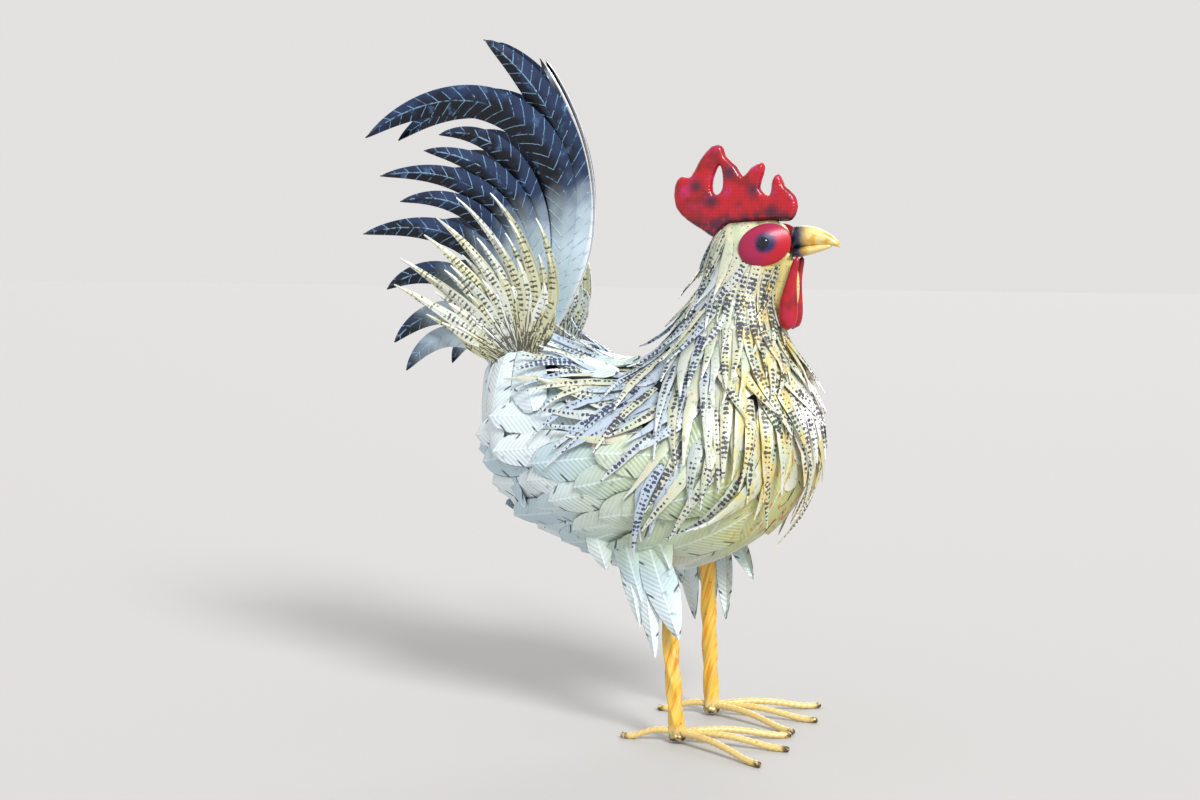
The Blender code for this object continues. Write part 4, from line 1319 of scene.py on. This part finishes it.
@dataclass
class LeafCover:
    """Rows of barbed leaves from the breast round the belly and flanks to the rump."""

    plumage: Plumage
    dips: tuple = (36.0, 2.0)
    dip_heights: tuple = (170.0, 280.0)
    axis: tuple = ((102, 0, 280), (-150, 0, 288))
    axis_dip: float = 22.0
    rows: int = 8
    spacing: float = 27.0
    size: tuple = (35.0, 92.0)
    panel: tuple = (50.0, 112.0)
    cup: float = 0.008
    bib: tuple = (8.1, 84.0, 7)
    bib_length: float = 98.0
    widest_turn: float = 150.0
    rise: float = 0.065
    hidden_above: float = 268.0
    hidden_before: float = -62.0
    rump: tuple = (-118.0, 262.0)
    free_behind: float = -168.0
    names: tuple = ("breast_feathers_1", "breast_feathers_2", "breast_feathers_3", "side_feathers_right",
                    "side_feathers_left", "rump_feathers_1", "rump_feathers_2", "rump_feathers_3")

    def build(self) -> None:
        """Lays every leaf, row by row from the front, and the bib of panels under the cape."""
        leaf = Pattern("leaf", 4, 16, leaf_outline, leaf_relief)
        finder = RowFinder(self.names[1:])
        skin, chance = self.plumage.skin, self.plumage.random
        dip = math.radians(self.axis_dip)
        down = np.array((math.sin(dip), 0, -math.cos(dip)))
        aside = np.array((0, 1, 0))
        turns = np.radians(np.linspace(-self.widest_turn, self.widest_turn, 61))
        for row in range(self.rows):
            centre = blend(np.array(self.axis, float), row / (self.rows - 1))
            loop = np.array([
                skin.reach(centre, down * math.cos(turn) + aside * math.sin(turn)) for turn in turns])
            steps = distances(loop)
            count = int(steps[-1] / self.spacing)
            for index in range(count):
                along = steps[-1] / 2 + (index - (count - 1) / 2 + 0.5 * (row % 2)) * self.spacing
                start = read(loop, steps, along + chance.uniform(-2, 2))
                under_tail = start[0] < self.rump[0] and start[2] > self.rump[1]
                if not under_tail and (start[2] < self.hidden_above or start[0] < self.hidden_before):
                    self.lay_leaf(leaf, finder, start)
        place, widest, count = self.bib
        for turn in np.radians(np.linspace(-widest, widest, count)):
            start = skin.round(place, turn)
            length = self.bib_length * chance.uniform(0.92, 1.08)
            course = skin.course(start, skin.round(place + 0.5, turn) - start, length, Lift(1.6, 0.05))
            self.plumage.lay(self.names[0], leaf, course, self.panel[0], length, self.cup)

    def lay_leaf(self, pattern: Pattern, finder: RowFinder, start: Array) -> None:
        """Lays one leaf.

        Args:
            pattern: The leaf's pattern.
            finder: Which of the frame's rows it belongs to.
            start: Its root's place.
        """
        chance = self.plumage.random
        low, high = self.dip_heights
        dip = math.radians(blend(self.dips, smooth((start[2] - low) / (high - low))) + chance.uniform(-7, 7))
        heading = np.array((-math.cos(dip), 0, -math.sin(dip)))
        front = smooth(start[0] / 40) * smooth((275 - start[2]) / 40)
        width = blend((self.size[0], self.panel[0]), front) * chance.uniform(0.9, 1.1)
        length = blend((self.size[1], self.panel[1]), front) * chance.uniform(0.82, 1.1)
        lift = Lift(1.0 + chance.uniform(0, 0.8), self.rise * chance.uniform(0.8, 1.3))
        free = max(length * 0.45, 18.0) if start[0] < self.free_behind + length else Skin.NEVER
        course = self.plumage.skin.course(start, heading, length, lift, free_from=free)
        node = finder.nearest(read(course.points, course.lengths, length * 0.7))
        self.plumage.lay(node, pattern, course, width, length, self.cup, chance.uniform(-5, 5))


@dataclass
class RumpPanels:
    """Panels that hang from the tail's root over the rump; a ring has a place, a widest turn and a count."""

    plumage: Plumage
    rings: tuple = ((15.3, 70.0, 7), (16.9, 165.0, 14))
    below: float = 2.2
    across: float = 36.0
    size: tuple = (37.0, 94.0)
    base: float = 3.0
    ring_lift: float = 2.4
    layer: float = 1.6
    rise: float = 0.06

    def round(self, place: float, turn: float) -> Array:
        """Looks for the skin round the tail's stump.

        Args:
            place: How far along the core, counted in sections.
            turn: The turn from the stump's rear.

        Returns:
            The skin's point.
        """
        middle, rear = self.plumage.skin.section(place)
        aim = middle + rear * math.cos(turn) + np.array((0, self.across, 0)) * math.sin(turn)
        return self.plumage.skin.nearest(aim)[0]

    def build(self) -> None:
        """Lays the panels."""
        leaf = Pattern("panel", 6, 26, leaf_outline, leaf_relief)
        chance = self.plumage.random
        for ring, (place, widest, count) in enumerate(self.rings):
            for index in range(count):
                turn = math.radians(blend((-widest, widest), index / (count - 1)))
                start = self.round(place, turn)
                heading = self.round(place - self.below, turn) - start
                length = self.size[1] * chance.uniform(0.82, 1.1)
                base = self.base + self.ring_lift * ring + self.layer * (index % 2) + chance.uniform(0, 0.5)
                course = self.plumage.skin.course(start, heading, length, Lift(base, self.rise))
                self.plumage.lay("rump_feathers_3", leaf, course, self.size[0], length, 0.012)


@dataclass
class ThighLeaves:
    """Leaves that hang round the tops of the legs, each with its tip, length, width, layer and lean."""

    plumage: Plumage
    right: tuple = (
        ((-63, 153), 52.0, 24.0, 1.0, 0.30),
        ((-32, 104), 92.0, 18.0, 0.0, 0.20),
        ((-18, 78), 104.0, 19.0, 0.9, 0.12),
        ((-29, 126), 86.0, 28.0, 2.8, 0.28),
        ((7, 92), 104.0, 32.0, 4.4, 0.34),
        ((0, 156), 80.0, 33.0, 6.2, 0.40),
    )
    left: tuple = (
        ((-50, 146), 60.0, 24.0, 1.0, 0.30),
        ((11, 91), 92.0, 17.0, 0.0, 0.05),
        ((-20, 88), 96.0, 20.0, 0.9, 0.15),
        ((42, 121), 84.0, 20.0, 1.8, 0.50),
        ((-33, 120), 88.0, 28.0, 2.8, 0.28),
        ((0, 104), 96.0, 30.0, 4.4, 0.30),
        ((2, 152), 80.0, 32.0, 6.2, 0.40),
    )
    out: tuple = (64.0, 65.0)
    bow: float = 3.0

    def build(self) -> None:
        """Lays the leaves on both sides."""
        leaf = Pattern("thigh_leaf", 4, 20, blade_outline, leaf_relief)
        share = np.linspace(0, 1, 12)
        for side, leaves in (("right", self.right), ("left", self.left)):
            for tip, length, width, layer, lean in leaves:
                up = (1 - share) * length
                out = SIDES[side] * (blend(self.out, share) + layer + self.bow * np.sin(math.pi * share))
                course = Course.beside(np.stack((tip[0] - lean * up, out, tip[1] + up), axis=1), SIDES[side])
                roll = self.plumage.random.uniform(-10, 10)
                self.plumage.lay(f"thigh_feathers_{side}", leaf, course, width, length, 0.012, roll)


@dataclass
class Coverts:
    """Speckled fingers and plates that fan out over the tail's root."""

    plumage: Plumage
    centre: tuple = (-155.0, 335.0)
    angles: tuple = (-30.0, 64.0)
    sweep: float = 22.0
    sweep_length: float = 75.0
    band: float = 34.0
    start: float = 14.0
    finger_start: float = 44.0
    bow: tuple = (40.0, 43.5)
    flare: float = 0.30
    front_flare: float = 0.28
    reaches: dict = field(default_factory=lambda: {
        "upper": (148, 176, 180, 168, 156, 152, 144), "lower": (116, 142, 130, 124, 116, 122, 118)})
    width: float = 11.5
    plate: tuple = (30.0, 56.0)
    shorter: float = 0.74
    cup: float = 0.012

    def build(self) -> None:
        """Lays the plates and fingers on both sides."""
        finger = Pattern("finger", 2, 16, finger_outline, finger_relief)
        plate = Pattern("plate", 4, 10, leaf_outline, leaf_relief)
        chance, lay = self.plumage.random, self.plumage.lay
        for side, sign in SIDES.items():
            for number, (layer, reaches) in enumerate(self.reaches.items()):
                node = f"tail_covert_{side}_{layer}"
                for index, reach in enumerate(reaches):
                    run = self.plate[1] * chance.uniform(0.9, 1.12)
                    course = self.course((index + 0.5) / len(reaches), self.start, run, number - 0.15, sign)
                    lay(node, plate, course, self.plate[0], run, self.cup, plain=1.0)
                    for half, scale in ((0.25, 1.0), (0.75, self.shorter)):
                        share = (index + half + chance.uniform(-0.12, 0.12)) / len(reaches)
                        run = (reach * scale - self.finger_start) * chance.uniform(0.92, 1.0)
                        course = self.course(share, self.finger_start, run, number + 0.25 + 0.1 * scale, sign)
                        width = self.width * chance.uniform(0.85, 1.15)
                        roll = chance.uniform(-14, 14)
                        lay(node, finger, course, width, run, self.cup, roll, chance.uniform(-35, 35))

    def course(self, share: float, start: float, run: float, number: float, sign: int) -> Course:
        """The line of a finger or plate.

        Args:
            share: Its place across the fan, from 0 in front to 1.
            start: How far from the fan's centre it starts.
            run: How far it runs.
            number: The layer that it lies in.
            sign: -1 on the right and 1 on the left.

        Returns:
            The line.
        """
        distance = start + run * np.linspace(0, 1, 16)
        beyond = distance - self.band
        turn = self.sweep * (1 - share) * (beyond - self.band).clip(0) / self.sweep_length
        lean = np.radians(blend(self.angles, share) + turn)
        spread = self.flare * blend((self.front_flare, 1.0), smooth(share))
        x = self.centre[0] - np.sin(lean) * distance
        y = sign * (blend(self.bow, number) + spread * beyond)
        return Course.beside(np.stack((x, y, self.centre[1] + np.cos(lean) * distance), axis=1), sign)


@dataclass(frozen=True)
class SickleShape:
    """One tall tail feather: its tip, the leans and pulls of its root and tip, its width and its spread."""

    tip: tuple
    root_lean: float
    rise: float
    tip_lean: float
    reach: float
    width: float
    spread: float


@dataclass
class Tail:
    """The tall creased tail feathers, in pairs from the innermost in front to the outermost behind."""

    paints: Paints
    shapes: tuple = (
        SickleShape((-149, 618), -30, 100, 26, 110, 26, 5),
        SickleShape((-202, 637), -29, 150, 56, 90, 34, 9),
        SickleShape((-314, 546), -25, 222, 128, 138, 34, 28),
        SickleShape((-241, 548), -17, 150, 106, 60, 22, 24),
        SickleShape((-254, 534), -16, 135, 88, 70, 24, 28),
        SickleShape((-295, 510), -14, 125, 102, 95, 24, 34),
        SickleShape((-275, 486), -10, 105, 107, 70, 22, 32),
        SickleShape((-310, 456), -8, 90, 106, 95, 26, 36),
        SickleShape((-287, 403), 6, 75, 135, 55, 24, 32),
        SickleShape((-279, 353), 18, 60, 148, 50, 22, 30),
        SickleShape((-267, 327), 38, 45, 156, 45, 20, 26),
    )
    roots: tuple = (0.08, 0.94)
    inner: float = 2.4
    layer: float = 2.7
    root_width: float = 9.0
    fills_out: float = 2.6
    tapers_from: float = 0.45
    taper: float = 2.3
    blunt: float = 0.72
    spread_curve: float = 1.7
    crease: float = 0.22
    row: float = 2.75
    slant: float = 0.9
    slant_from: float = 20.0
    top: float = 636.0
    pale_step: float = 7.5
    pale_start: float = -51.0
    thickness: float = 0.8

    def centre(self, shape: SickleShape, index: int, t: Array) -> Array:
        """Places along the middle of a feather in the plane that it rises in.

        Args:
            shape: The feather.
            index: Its number, from the innermost.
            t: The shares of its curve that are wanted, in a column.

        Returns:
            The places, one to a row.
        """
        front, rear = np.array(SECTIONS[-1], float)
        root = front + (rear - front) * blend(self.roots, index / (len(self.shapes) - 1))
        tip = np.array(shape.tip, float)
        first = root + self.lean(shape.root_lean) * shape.rise
        second = tip - self.lean(shape.tip_lean) * shape.reach
        return (1 - t) ** 3 * root + 3 * (1 - t) ** 2 * t * first + 3 * (1 - t) * t**2 * second + t**3 * tip

    @staticmethod
    def lean(angle: float) -> Array:
        """A direction in the middle plane, this many degrees back from upright."""
        angle = math.radians(angle)
        return np.array((-math.sin(angle), math.cos(angle)))

    def filled(self, share: Array, shape: SickleShape) -> Array:
        """The feather's width at these shares of its curve, before it tapers."""
        return blend((self.root_width, shape.width), smooth(share * self.fills_out))

    def tapered(self, share: Array) -> Array:
        """What the taper leaves of the width at these shares of the curve."""
        late = ((share - self.tapers_from) / (1 - self.tapers_from)).clip(0)
        return (1 - late**self.taper).clip(0.01) ** self.blunt

    def build(self) -> None:
        """Cuts, creases and bends every feather."""
        t = np.linspace(0, 1, 120)
        for index, shape in enumerate(self.shapes):
            middle = self.centre(shape, index, t[:, None])
            lengths = distances(middle)
            length = lengths[-1]
            sheet = Bench.grid(f"sickle_{index + 1:02d}", 6, int(length / self.row))
            across, along, _ = Bench.points(sheet).T
            distance = along * length
            share = np.interp(distance, lengths, t)
            aside = np.abs(across) * self.filled(share, shape) * self.tapered(share)
            shift = np.minimum(self.slant * aside, (length - distance) * 0.9)
            distance = distance + shift * smooth(distance / self.slant_from) * (along < 1)
            share = np.interp(distance, lengths, t)
            width = self.filled(share, shape)
            above = self.crease * (0.5 - np.abs(across)) * width * smooth(share * self.fills_out)
            flat = np.stack((across * width * self.tapered(share), distance, above), axis=1)
            for side, sign in SIDES.items():
                node = f"sickle_{side}_{index + 1:02d}"
                piece = Bench.double(sheet, f"{node}_sheet")
                y = sign * (self.inner + self.layer * index + shape.spread * t**self.spread_curve)
                bent = Course.beside(np.insert(middle, 1, y, axis=1), sign).carry(flat)
                bent[:, 2] = np.minimum(bent[:, 2], self.top)
                Bench.move(piece, to_scene(bent))
                Bench.unwrap(piece, flat)
                # rim: where the painted white highlight lies, along one edge of the innermost pair.
                rim = smooth((-sign * across - 0.34) / 0.08) * (index == 0)
                below = distance + self.pale_step * index + self.pale_start
                Bench.note(piece, rim=rim, rest=share, hand=float(sign), below=below)
                Bench.apply(piece, "SOLIDIFY", thickness=self.thickness / 1000, offset=-1.0, use_rim=True)
                self.paints.dress(piece, Finish.SICKLE, 30.0, node)
            bpy.data.objects.remove(sheet)


@dataclass
class Head:
    """The cream sheet over the head, with the comb, beak, face patches, eyes and wattles."""

    skin: Skin
    paints: Paints
    sheet_from: float = 418.0
    sheet_lift: float = 1.0
    sheet_thickness: float = 0.8
    grain: float = 1.1
    smoothing: int = 14
    beak_fullness: float = 1.1
    comb_thickness: float = 10.0
    comb_fullness: float = 1.0
    wattle_ends: tuple = ((95.5, 438.0), (87.0, 371.5))
    wattle_size: tuple = (9.2, 5.8)
    wattle_out: float = 10.0
    wattle_bow: float = 2.5
    fold_middle: tuple = (79.0, 0.0, 410.0)
    fold_size: tuple = (16.5, 5.0, 34.0)
    notches: tuple = ((0.0, 500.0), (31.0, 512.0), (14.0, 487.0), (53.0, 497.0), (70.0, 476.0), (45.0, 470.0))
    notch_reach: float = 11.0

    def build(self) -> None:
        """Makes and dresses every piece of the head."""
        self.cover()
        self.comb()
        self.rounded("beak_upper", Finish.BEAK, self.beak_fullness)
        self.rounded("beak_lower", Finish.BEAK, self.beak_fullness)
        for side in SIDES:
            self.rounded(f"face_patch_{side}", Finish.FACE)
            self.rounded(f"eye_{side}", Finish.EYE)
        for side, sign in SIDES.items():
            self.wattle(side, sign)

    def rounded(self, node: str, finish: Finish, fuller: float = 0.0) -> None:
        """A smoothed copy of one of the frame's nodes, in its place.

        Args:
            node: The frame's node.
            finish: Its paint.
            fuller: How far its sides are moved out after smoothing, in millimetres.
        """
        piece = Bench.copy(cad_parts[node], f"{node}_shell")
        Bench.apply(piece, "SUBSURF", levels=2, render_levels=2)
        Bench.swell(piece, 0.0, fuller, fuller)
        self.paints.dress(piece, finish, 60.0, node)

    def wattle(self, side: str, sign: int) -> None:
        """One wattle, thin where it hangs from the chin and swelling to a round end.

        Args:
            side: The side that it hangs on.
            sign: -1 on the right and 1 on the left.
        """
        add = bpy.ops.mesh.primitive_uv_sphere_add
        piece = Bench.start(add, f"wattle_{side}_drop", segments=24, ring_count=20, radius=1.0)
        x, y, z = Bench.points(piece).T
        down = np.arccos(z.clip(-1, 1)) / math.pi
        swell = 0.42 + 0.58 * smooth((down - 0.15) / 0.65)
        ends = np.sqrt(np.clip(1 - (2 * down - 1) ** 6, 0, 1))
        off_axis = np.hypot(x, y)
        radius = swell * ends * (off_axis > 1e-5) / np.maximum(off_axis, 1e-6)
        middle = blend(np.array(self.wattle_ends).T[0], down) - self.wattle_bow * np.sin(math.pi * down)
        points = np.stack((middle + x * radius * self.wattle_size[0],
                           sign * self.wattle_out + y * radius * self.wattle_size[1],
                           blend(np.array(self.wattle_ends).T[1], down)), axis=1)
        Bench.move(piece, to_scene(points))
        Bench.face_out(piece)
        # The wattles get a little painted magenta sheen all over, and no notch smudges or painted underside
        # shadow.
        Bench.note(piece, hollow=0.0, beaten=0.25, upper=0.3, under=0.0)
        self.paints.dress(piece, Finish.ENAMEL, 80.0, f"wattle_{side}")

    def cover(self) -> None:
        """The sheet over the crown, cheeks and chin, with the fold that hangs between the wattles."""
        piece = Bench.copy(self.skin.piece, "head_sheet")
        with Bench.editing():
            low = (0, 0, self.sheet_from / 1000)
            bpy.ops.mesh.bisect(plane_co=low, plane_no=(0.35, 0, 1), clear_inner=True)
        Bench.swell(piece, self.sheet_lift)
        Bench.apply(piece, "SOLIDIFY", thickness=self.sheet_thickness / 1000, offset=-1.0)
        add = bpy.ops.mesh.primitive_uv_sphere_add
        fold = Bench.start(add, "head_fold", segments=32, ring_count=24, radius=1.0)
        Bench.move(fold, to_scene(Bench.points(fold) * self.fold_size + self.fold_middle))
        self.paints.dress(Bench.join([piece, fold], "head_sheet"), Finish.HEAD, 60.0)

    def comb(self) -> None:
        """The puffy pressed comb."""
        piece = Bench.copy(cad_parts["comb"], "comb_shell")
        Bench.apply(piece, "REMESH", mode="VOXEL", voxel_size=self.grain / 1000)
        Bench.apply(piece, "SMOOTH", factor=0.5, iterations=self.smoothing)
        Bench.swell(piece, self.comb_fullness, 0.0, self.comb_fullness)
        points = to_sizes(Bench.points(piece))
        points[:, 1] *= self.comb_thickness / 2 / np.abs(points[:, 1]).max()
        Bench.move(piece, to_scene(points))
        x, _, z = points.T
        away = np.min([np.hypot(x - notch[0], z - notch[1]) for notch in self.notches], axis=0)
        # under carries the painted shadow along the comb's underside, upper the share of painted magenta sheen
        # towards the top.
        Bench.note(piece, hollow=smooth(1 - away / self.notch_reach), beaten=smooth((525 - z) / 20),
                   upper=smooth((z - 470) / 30), under=smooth((482 - z - 0.25 * (30 - x).clip(0)) / 12))
        self.paints.dress(piece, Finish.ENAMEL, 80.0, "comb")


@dataclass
class Feet:
    """The twisted legs of square bar and the toes of ribbed rod."""

    paints: Paints
    bar: float = 12.5
    rounding: float = 2.8
    lengthwise: int = 48
    twist_length: float = 150.0
    foot: float = 3.0
    reach: float = 130.0
    leans_in: float = 4.0
    leans: dict = field(default_factory=lambda: {"right": 5.0, "left": 1.5})
    rod: float = 6.6
    ribs: float = 6.2
    rib_height: float = 0.55
    toe_cuts: int = 90
    toe_root: float = 4.0
    toe_flat: float = 9.0
    toe_height: float = 9.5
    toe_arch: float = 3.0
    toes: tuple = (
        ("outer", 33.0, 110.0), ("middle", 0.0, 103.0), ("inner", -29.0, 106.0), ("back", 180.0, 54.0))
    weld_size: tuple = (8.0, 8.0, 4.4)
    weld_height: float = 6.4

    def build(self) -> None:
        """Makes and dresses the legs and toes."""
        for side, sign in SIDES.items():
            self.leg(side, sign)
            for toe, angle, length in self.toes:
                self.toe(f"toe_{side}_{toe}", angle, length, sign)

    def leg(self, side: str, sign: int) -> None:
        """One bar, bevelled along its edges, cut across many times and twisted.

        Args:
            side: The side that it stands on.
            sign: -1 on the right and 1 on the left.
        """
        top = to_sizes(np.array(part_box(f"leg_{side}")[1]))[2]
        piece = Bench.start(bpy.ops.mesh.primitive_cube_add, f"leg_{side}_bar", size=1.0)
        with Bench.editing():
            bpy.ops.transform.resize(value=(self.bar, self.bar, top - self.foot))
            bpy.ops.transform.translate(value=(0, 0, (top + self.foot) / 2))
            self.pick_upright(piece)
            bpy.ops.mesh.bevel(offset=self.rounding, segments=3)
            self.pick_upright(piece)
            bpy.ops.mesh.subdivide(number_cuts=self.lengthwise)
        x, y, z = Bench.points(piece).T
        turn = 2 * math.pi * (z - self.foot) / self.twist_length * sign
        lean = math.tan(math.radians(self.leans[side]))
        axis = sign * (LEG_OUT - self.leans_in * z / self.reach)
        turned = np.stack((x * np.cos(turn) - y * np.sin(turn) - lean * z,
                           x * np.sin(turn) + y * np.cos(turn) + axis, z), axis=1)
        Bench.move(piece, to_scene(turned))
        piece = Bench.join([piece, self.weld(sign)], f"leg_{side}_bar")
        self.paints.dress(piece, Finish.LEG, 30.0, f"leg_{side}")

    @staticmethod
    def pick_upright(piece: Piece) -> None:
        """Selects the edges that run up a piece, in edit mode.

        Args:
            piece: The piece.
        """
        bpy.ops.mesh.select_mode(type="EDGE")
        bpy.ops.mesh.select_all(action="DESELECT")
        shape = bmesh.from_edit_mesh(piece.data)
        for edge in shape.edges:
            first, second = (corner.co for corner in edge.verts)
            if abs(first.z - second.z) > 0.9 * (first - second).length:
                edge.select = True
        bmesh.update_edit_mesh(piece.data)

    def weld(self, sign: int) -> Piece:
        """The lump of weld where the toes meet the leg.

        Args:
            sign: -1 on the right and 1 on the left.

        Returns:
            The lump.
        """
        add = bpy.ops.mesh.primitive_uv_sphere_add
        piece = Bench.start(add, "weld", segments=20, ring_count=10, radius=1.0)
        points = Bench.points(piece)
        x, y, z = points.T
        lumps = 1 + 0.07 * np.sin(x * 9 + 1) * np.cos(y * 7) + 0.05 * np.sin(z * 11)
        centre = (0, sign * LEG_OUT, self.weld_height)
        Bench.move(piece, to_scene(points * lumps[:, None] * self.weld_size + centre))
        return piece

    def toe(self, node: str, angle: float, length: float, sign: int) -> None:
        """One rod with slanted ribs round it, bent along the toe's low arch.

        Args:
            node: The frame's toe.
            angle: The way it points, in degrees outwards from straight ahead.
            length: Its tip's distance from the leg.
            sign: -1 on the right and 1 on the left.
        """
        add = bpy.ops.mesh.primitive_cylinder_add
        piece = Bench.start(add, f"{node}_rod", vertices=12, radius=1.0, depth=1.0)
        with Bench.editing():
            self.pick_upright(piece)
            bpy.ops.mesh.subdivide(number_cuts=self.toe_cuts)
        x, y, z = Bench.points(piece).T
        place = blend((self.toe_root, length), z + 0.5)
        around = np.arctan2(y, x)
        ribs = 0.5 + 0.5 * np.cos(2 * math.pi * place / self.ribs + 2 * around)
        blunt = np.sqrt(np.clip(1 - ((place - length + 3) / 3.4).clip(0) ** 2, 0.1, 1))
        radius = (self.rod / 2 - self.rib_height * (1 - ribs**2)) * blunt * np.hypot(x, y)
        low = self.rod / 2 * math.cos(math.pi / 6)
        share = (place / (length - self.toe_flat)).clip(0, 1)
        arch = self.toe_arch * np.sin(math.pi * share) * (1 - share)
        height = blend((self.toe_height, low), smooth(share**2.2)) + arch
        way = math.radians(angle)
        ahead = np.array((math.cos(way), sign * math.sin(way)))
        beside = np.array((-ahead[1], ahead[0]))
        flat = place[:, None] * ahead + (radius * np.cos(around))[:, None] * beside
        rise = np.maximum(height + radius * np.sin(around), 0.0)
        Bench.move(piece, to_scene(np.stack((flat[:, 0], flat[:, 1] + sign * LEG_OUT, rise), axis=1)))
        Bench.note(piece, tip=0.9 * smooth((place - length + 9) / 6))
        Bench.face_out(piece)
        self.paints.dress(piece, Finish.LEG, 50.0, node)


@dataclass
class Studio:
    """The pale floor, the soft lights and the camera."""

    paints: Paints
    azimuth: float = 19.0
    elevation: float = 5.0
    distance: float = 1.9
    lens: float = 61.3
    target: tuple = (-0.00275, 0.0, 0.3032)
    sky_colour: tuple = shade(0.94, 0.935, 0.93)
    sky_strength: float = 0.88

    def build(self) -> None:
        """Sets up the whole studio."""
        floor = Bench.start(bpy.ops.mesh.primitive_plane_add, "floor", size=24.0)
        self.paints.coat(floor, Finish.FLOOR)
        key = self.sun("key_light", (1.5, -1.5, 1.9), 18.0, 3.2)
        back = self.sun("back_light", (-0.2, 1.6, 1.2), 40.0, 0.9)
        self.sky()
        self.camera()

    def sun(self, name: str, place: tuple, spread: float, power: float) -> Piece:
        """A broad even light from one direction.

        Args:
            name: The light's name.
            place: Where it comes from.
            spread: How broad it is, in degrees.
            power: Its strength.

        Returns:
            The light.
        """
        lamp = Bench.start(bpy.ops.object.light_add, name, type="SUN", location=place)
        lamp.data.angle = math.radians(spread)
        lamp.data.energy = power
        lamp.rotation_euler = (Vector(self.target) - Vector(place)).to_track_quat("-Z", "Y").to_euler()
        return lamp

    def sky(self) -> None:
        """Even pale light from all round."""
        world = bpy.data.worlds.new("studio")
        world.use_nodes = True
        background = world.node_tree.nodes["Background"]
        background.inputs["Color"].default_value = self.sky_colour
        background.inputs["Strength"].default_value = self.sky_strength
        bpy.context.scene.world = world
        bpy.context.scene.view_settings.view_transform = "Standard"

    def camera(self) -> None:
        """The camera at the photo's angle, to the statue's right and a little in front."""
        turn, rise = math.radians(self.azimuth), math.radians(self.elevation)
        back = Vector((math.sin(turn) * math.cos(rise), -math.cos(turn) * math.cos(rise), math.sin(rise)))
        bpy.ops.object.camera_add(location=Vector(self.target) + back * self.distance)
        camera = bpy.context.active_object
        camera.name = "camera"
        camera.data.lens = self.lens
        camera.data.sensor_width = 36.0
        camera.rotation_euler = (-back).to_track_quat("-Z", "Y").to_euler()
        bpy.context.scene.camera = camera


def main() -> None:
    """Builds the statue piece by piece and sets up its studio."""
    logging.basicConfig(level=logging.INFO, format="%(name)s: %(message)s")
    paints = Paints()
    skin = Skin()
    plumage = Plumage(skin, paints)
    Hackle(plumage).build()
    plumage.weld(Finish.STRIP)
    LeafCover(plumage).build()
    RumpPanels(plumage).build()
    ThighLeaves(plumage).build()
    plumage.weld(Finish.LEAF)
    Coverts(plumage).build()
    plumage.weld(Finish.COVERT)
    Tail(paints).build()
    Head(skin, paints).build()
    Feet(paints).build()
    paints.dress(skin.piece, Finish.CORE, 60.0, "body")
    Studio(paints).build()


if __name__ == "__main__":
    main()
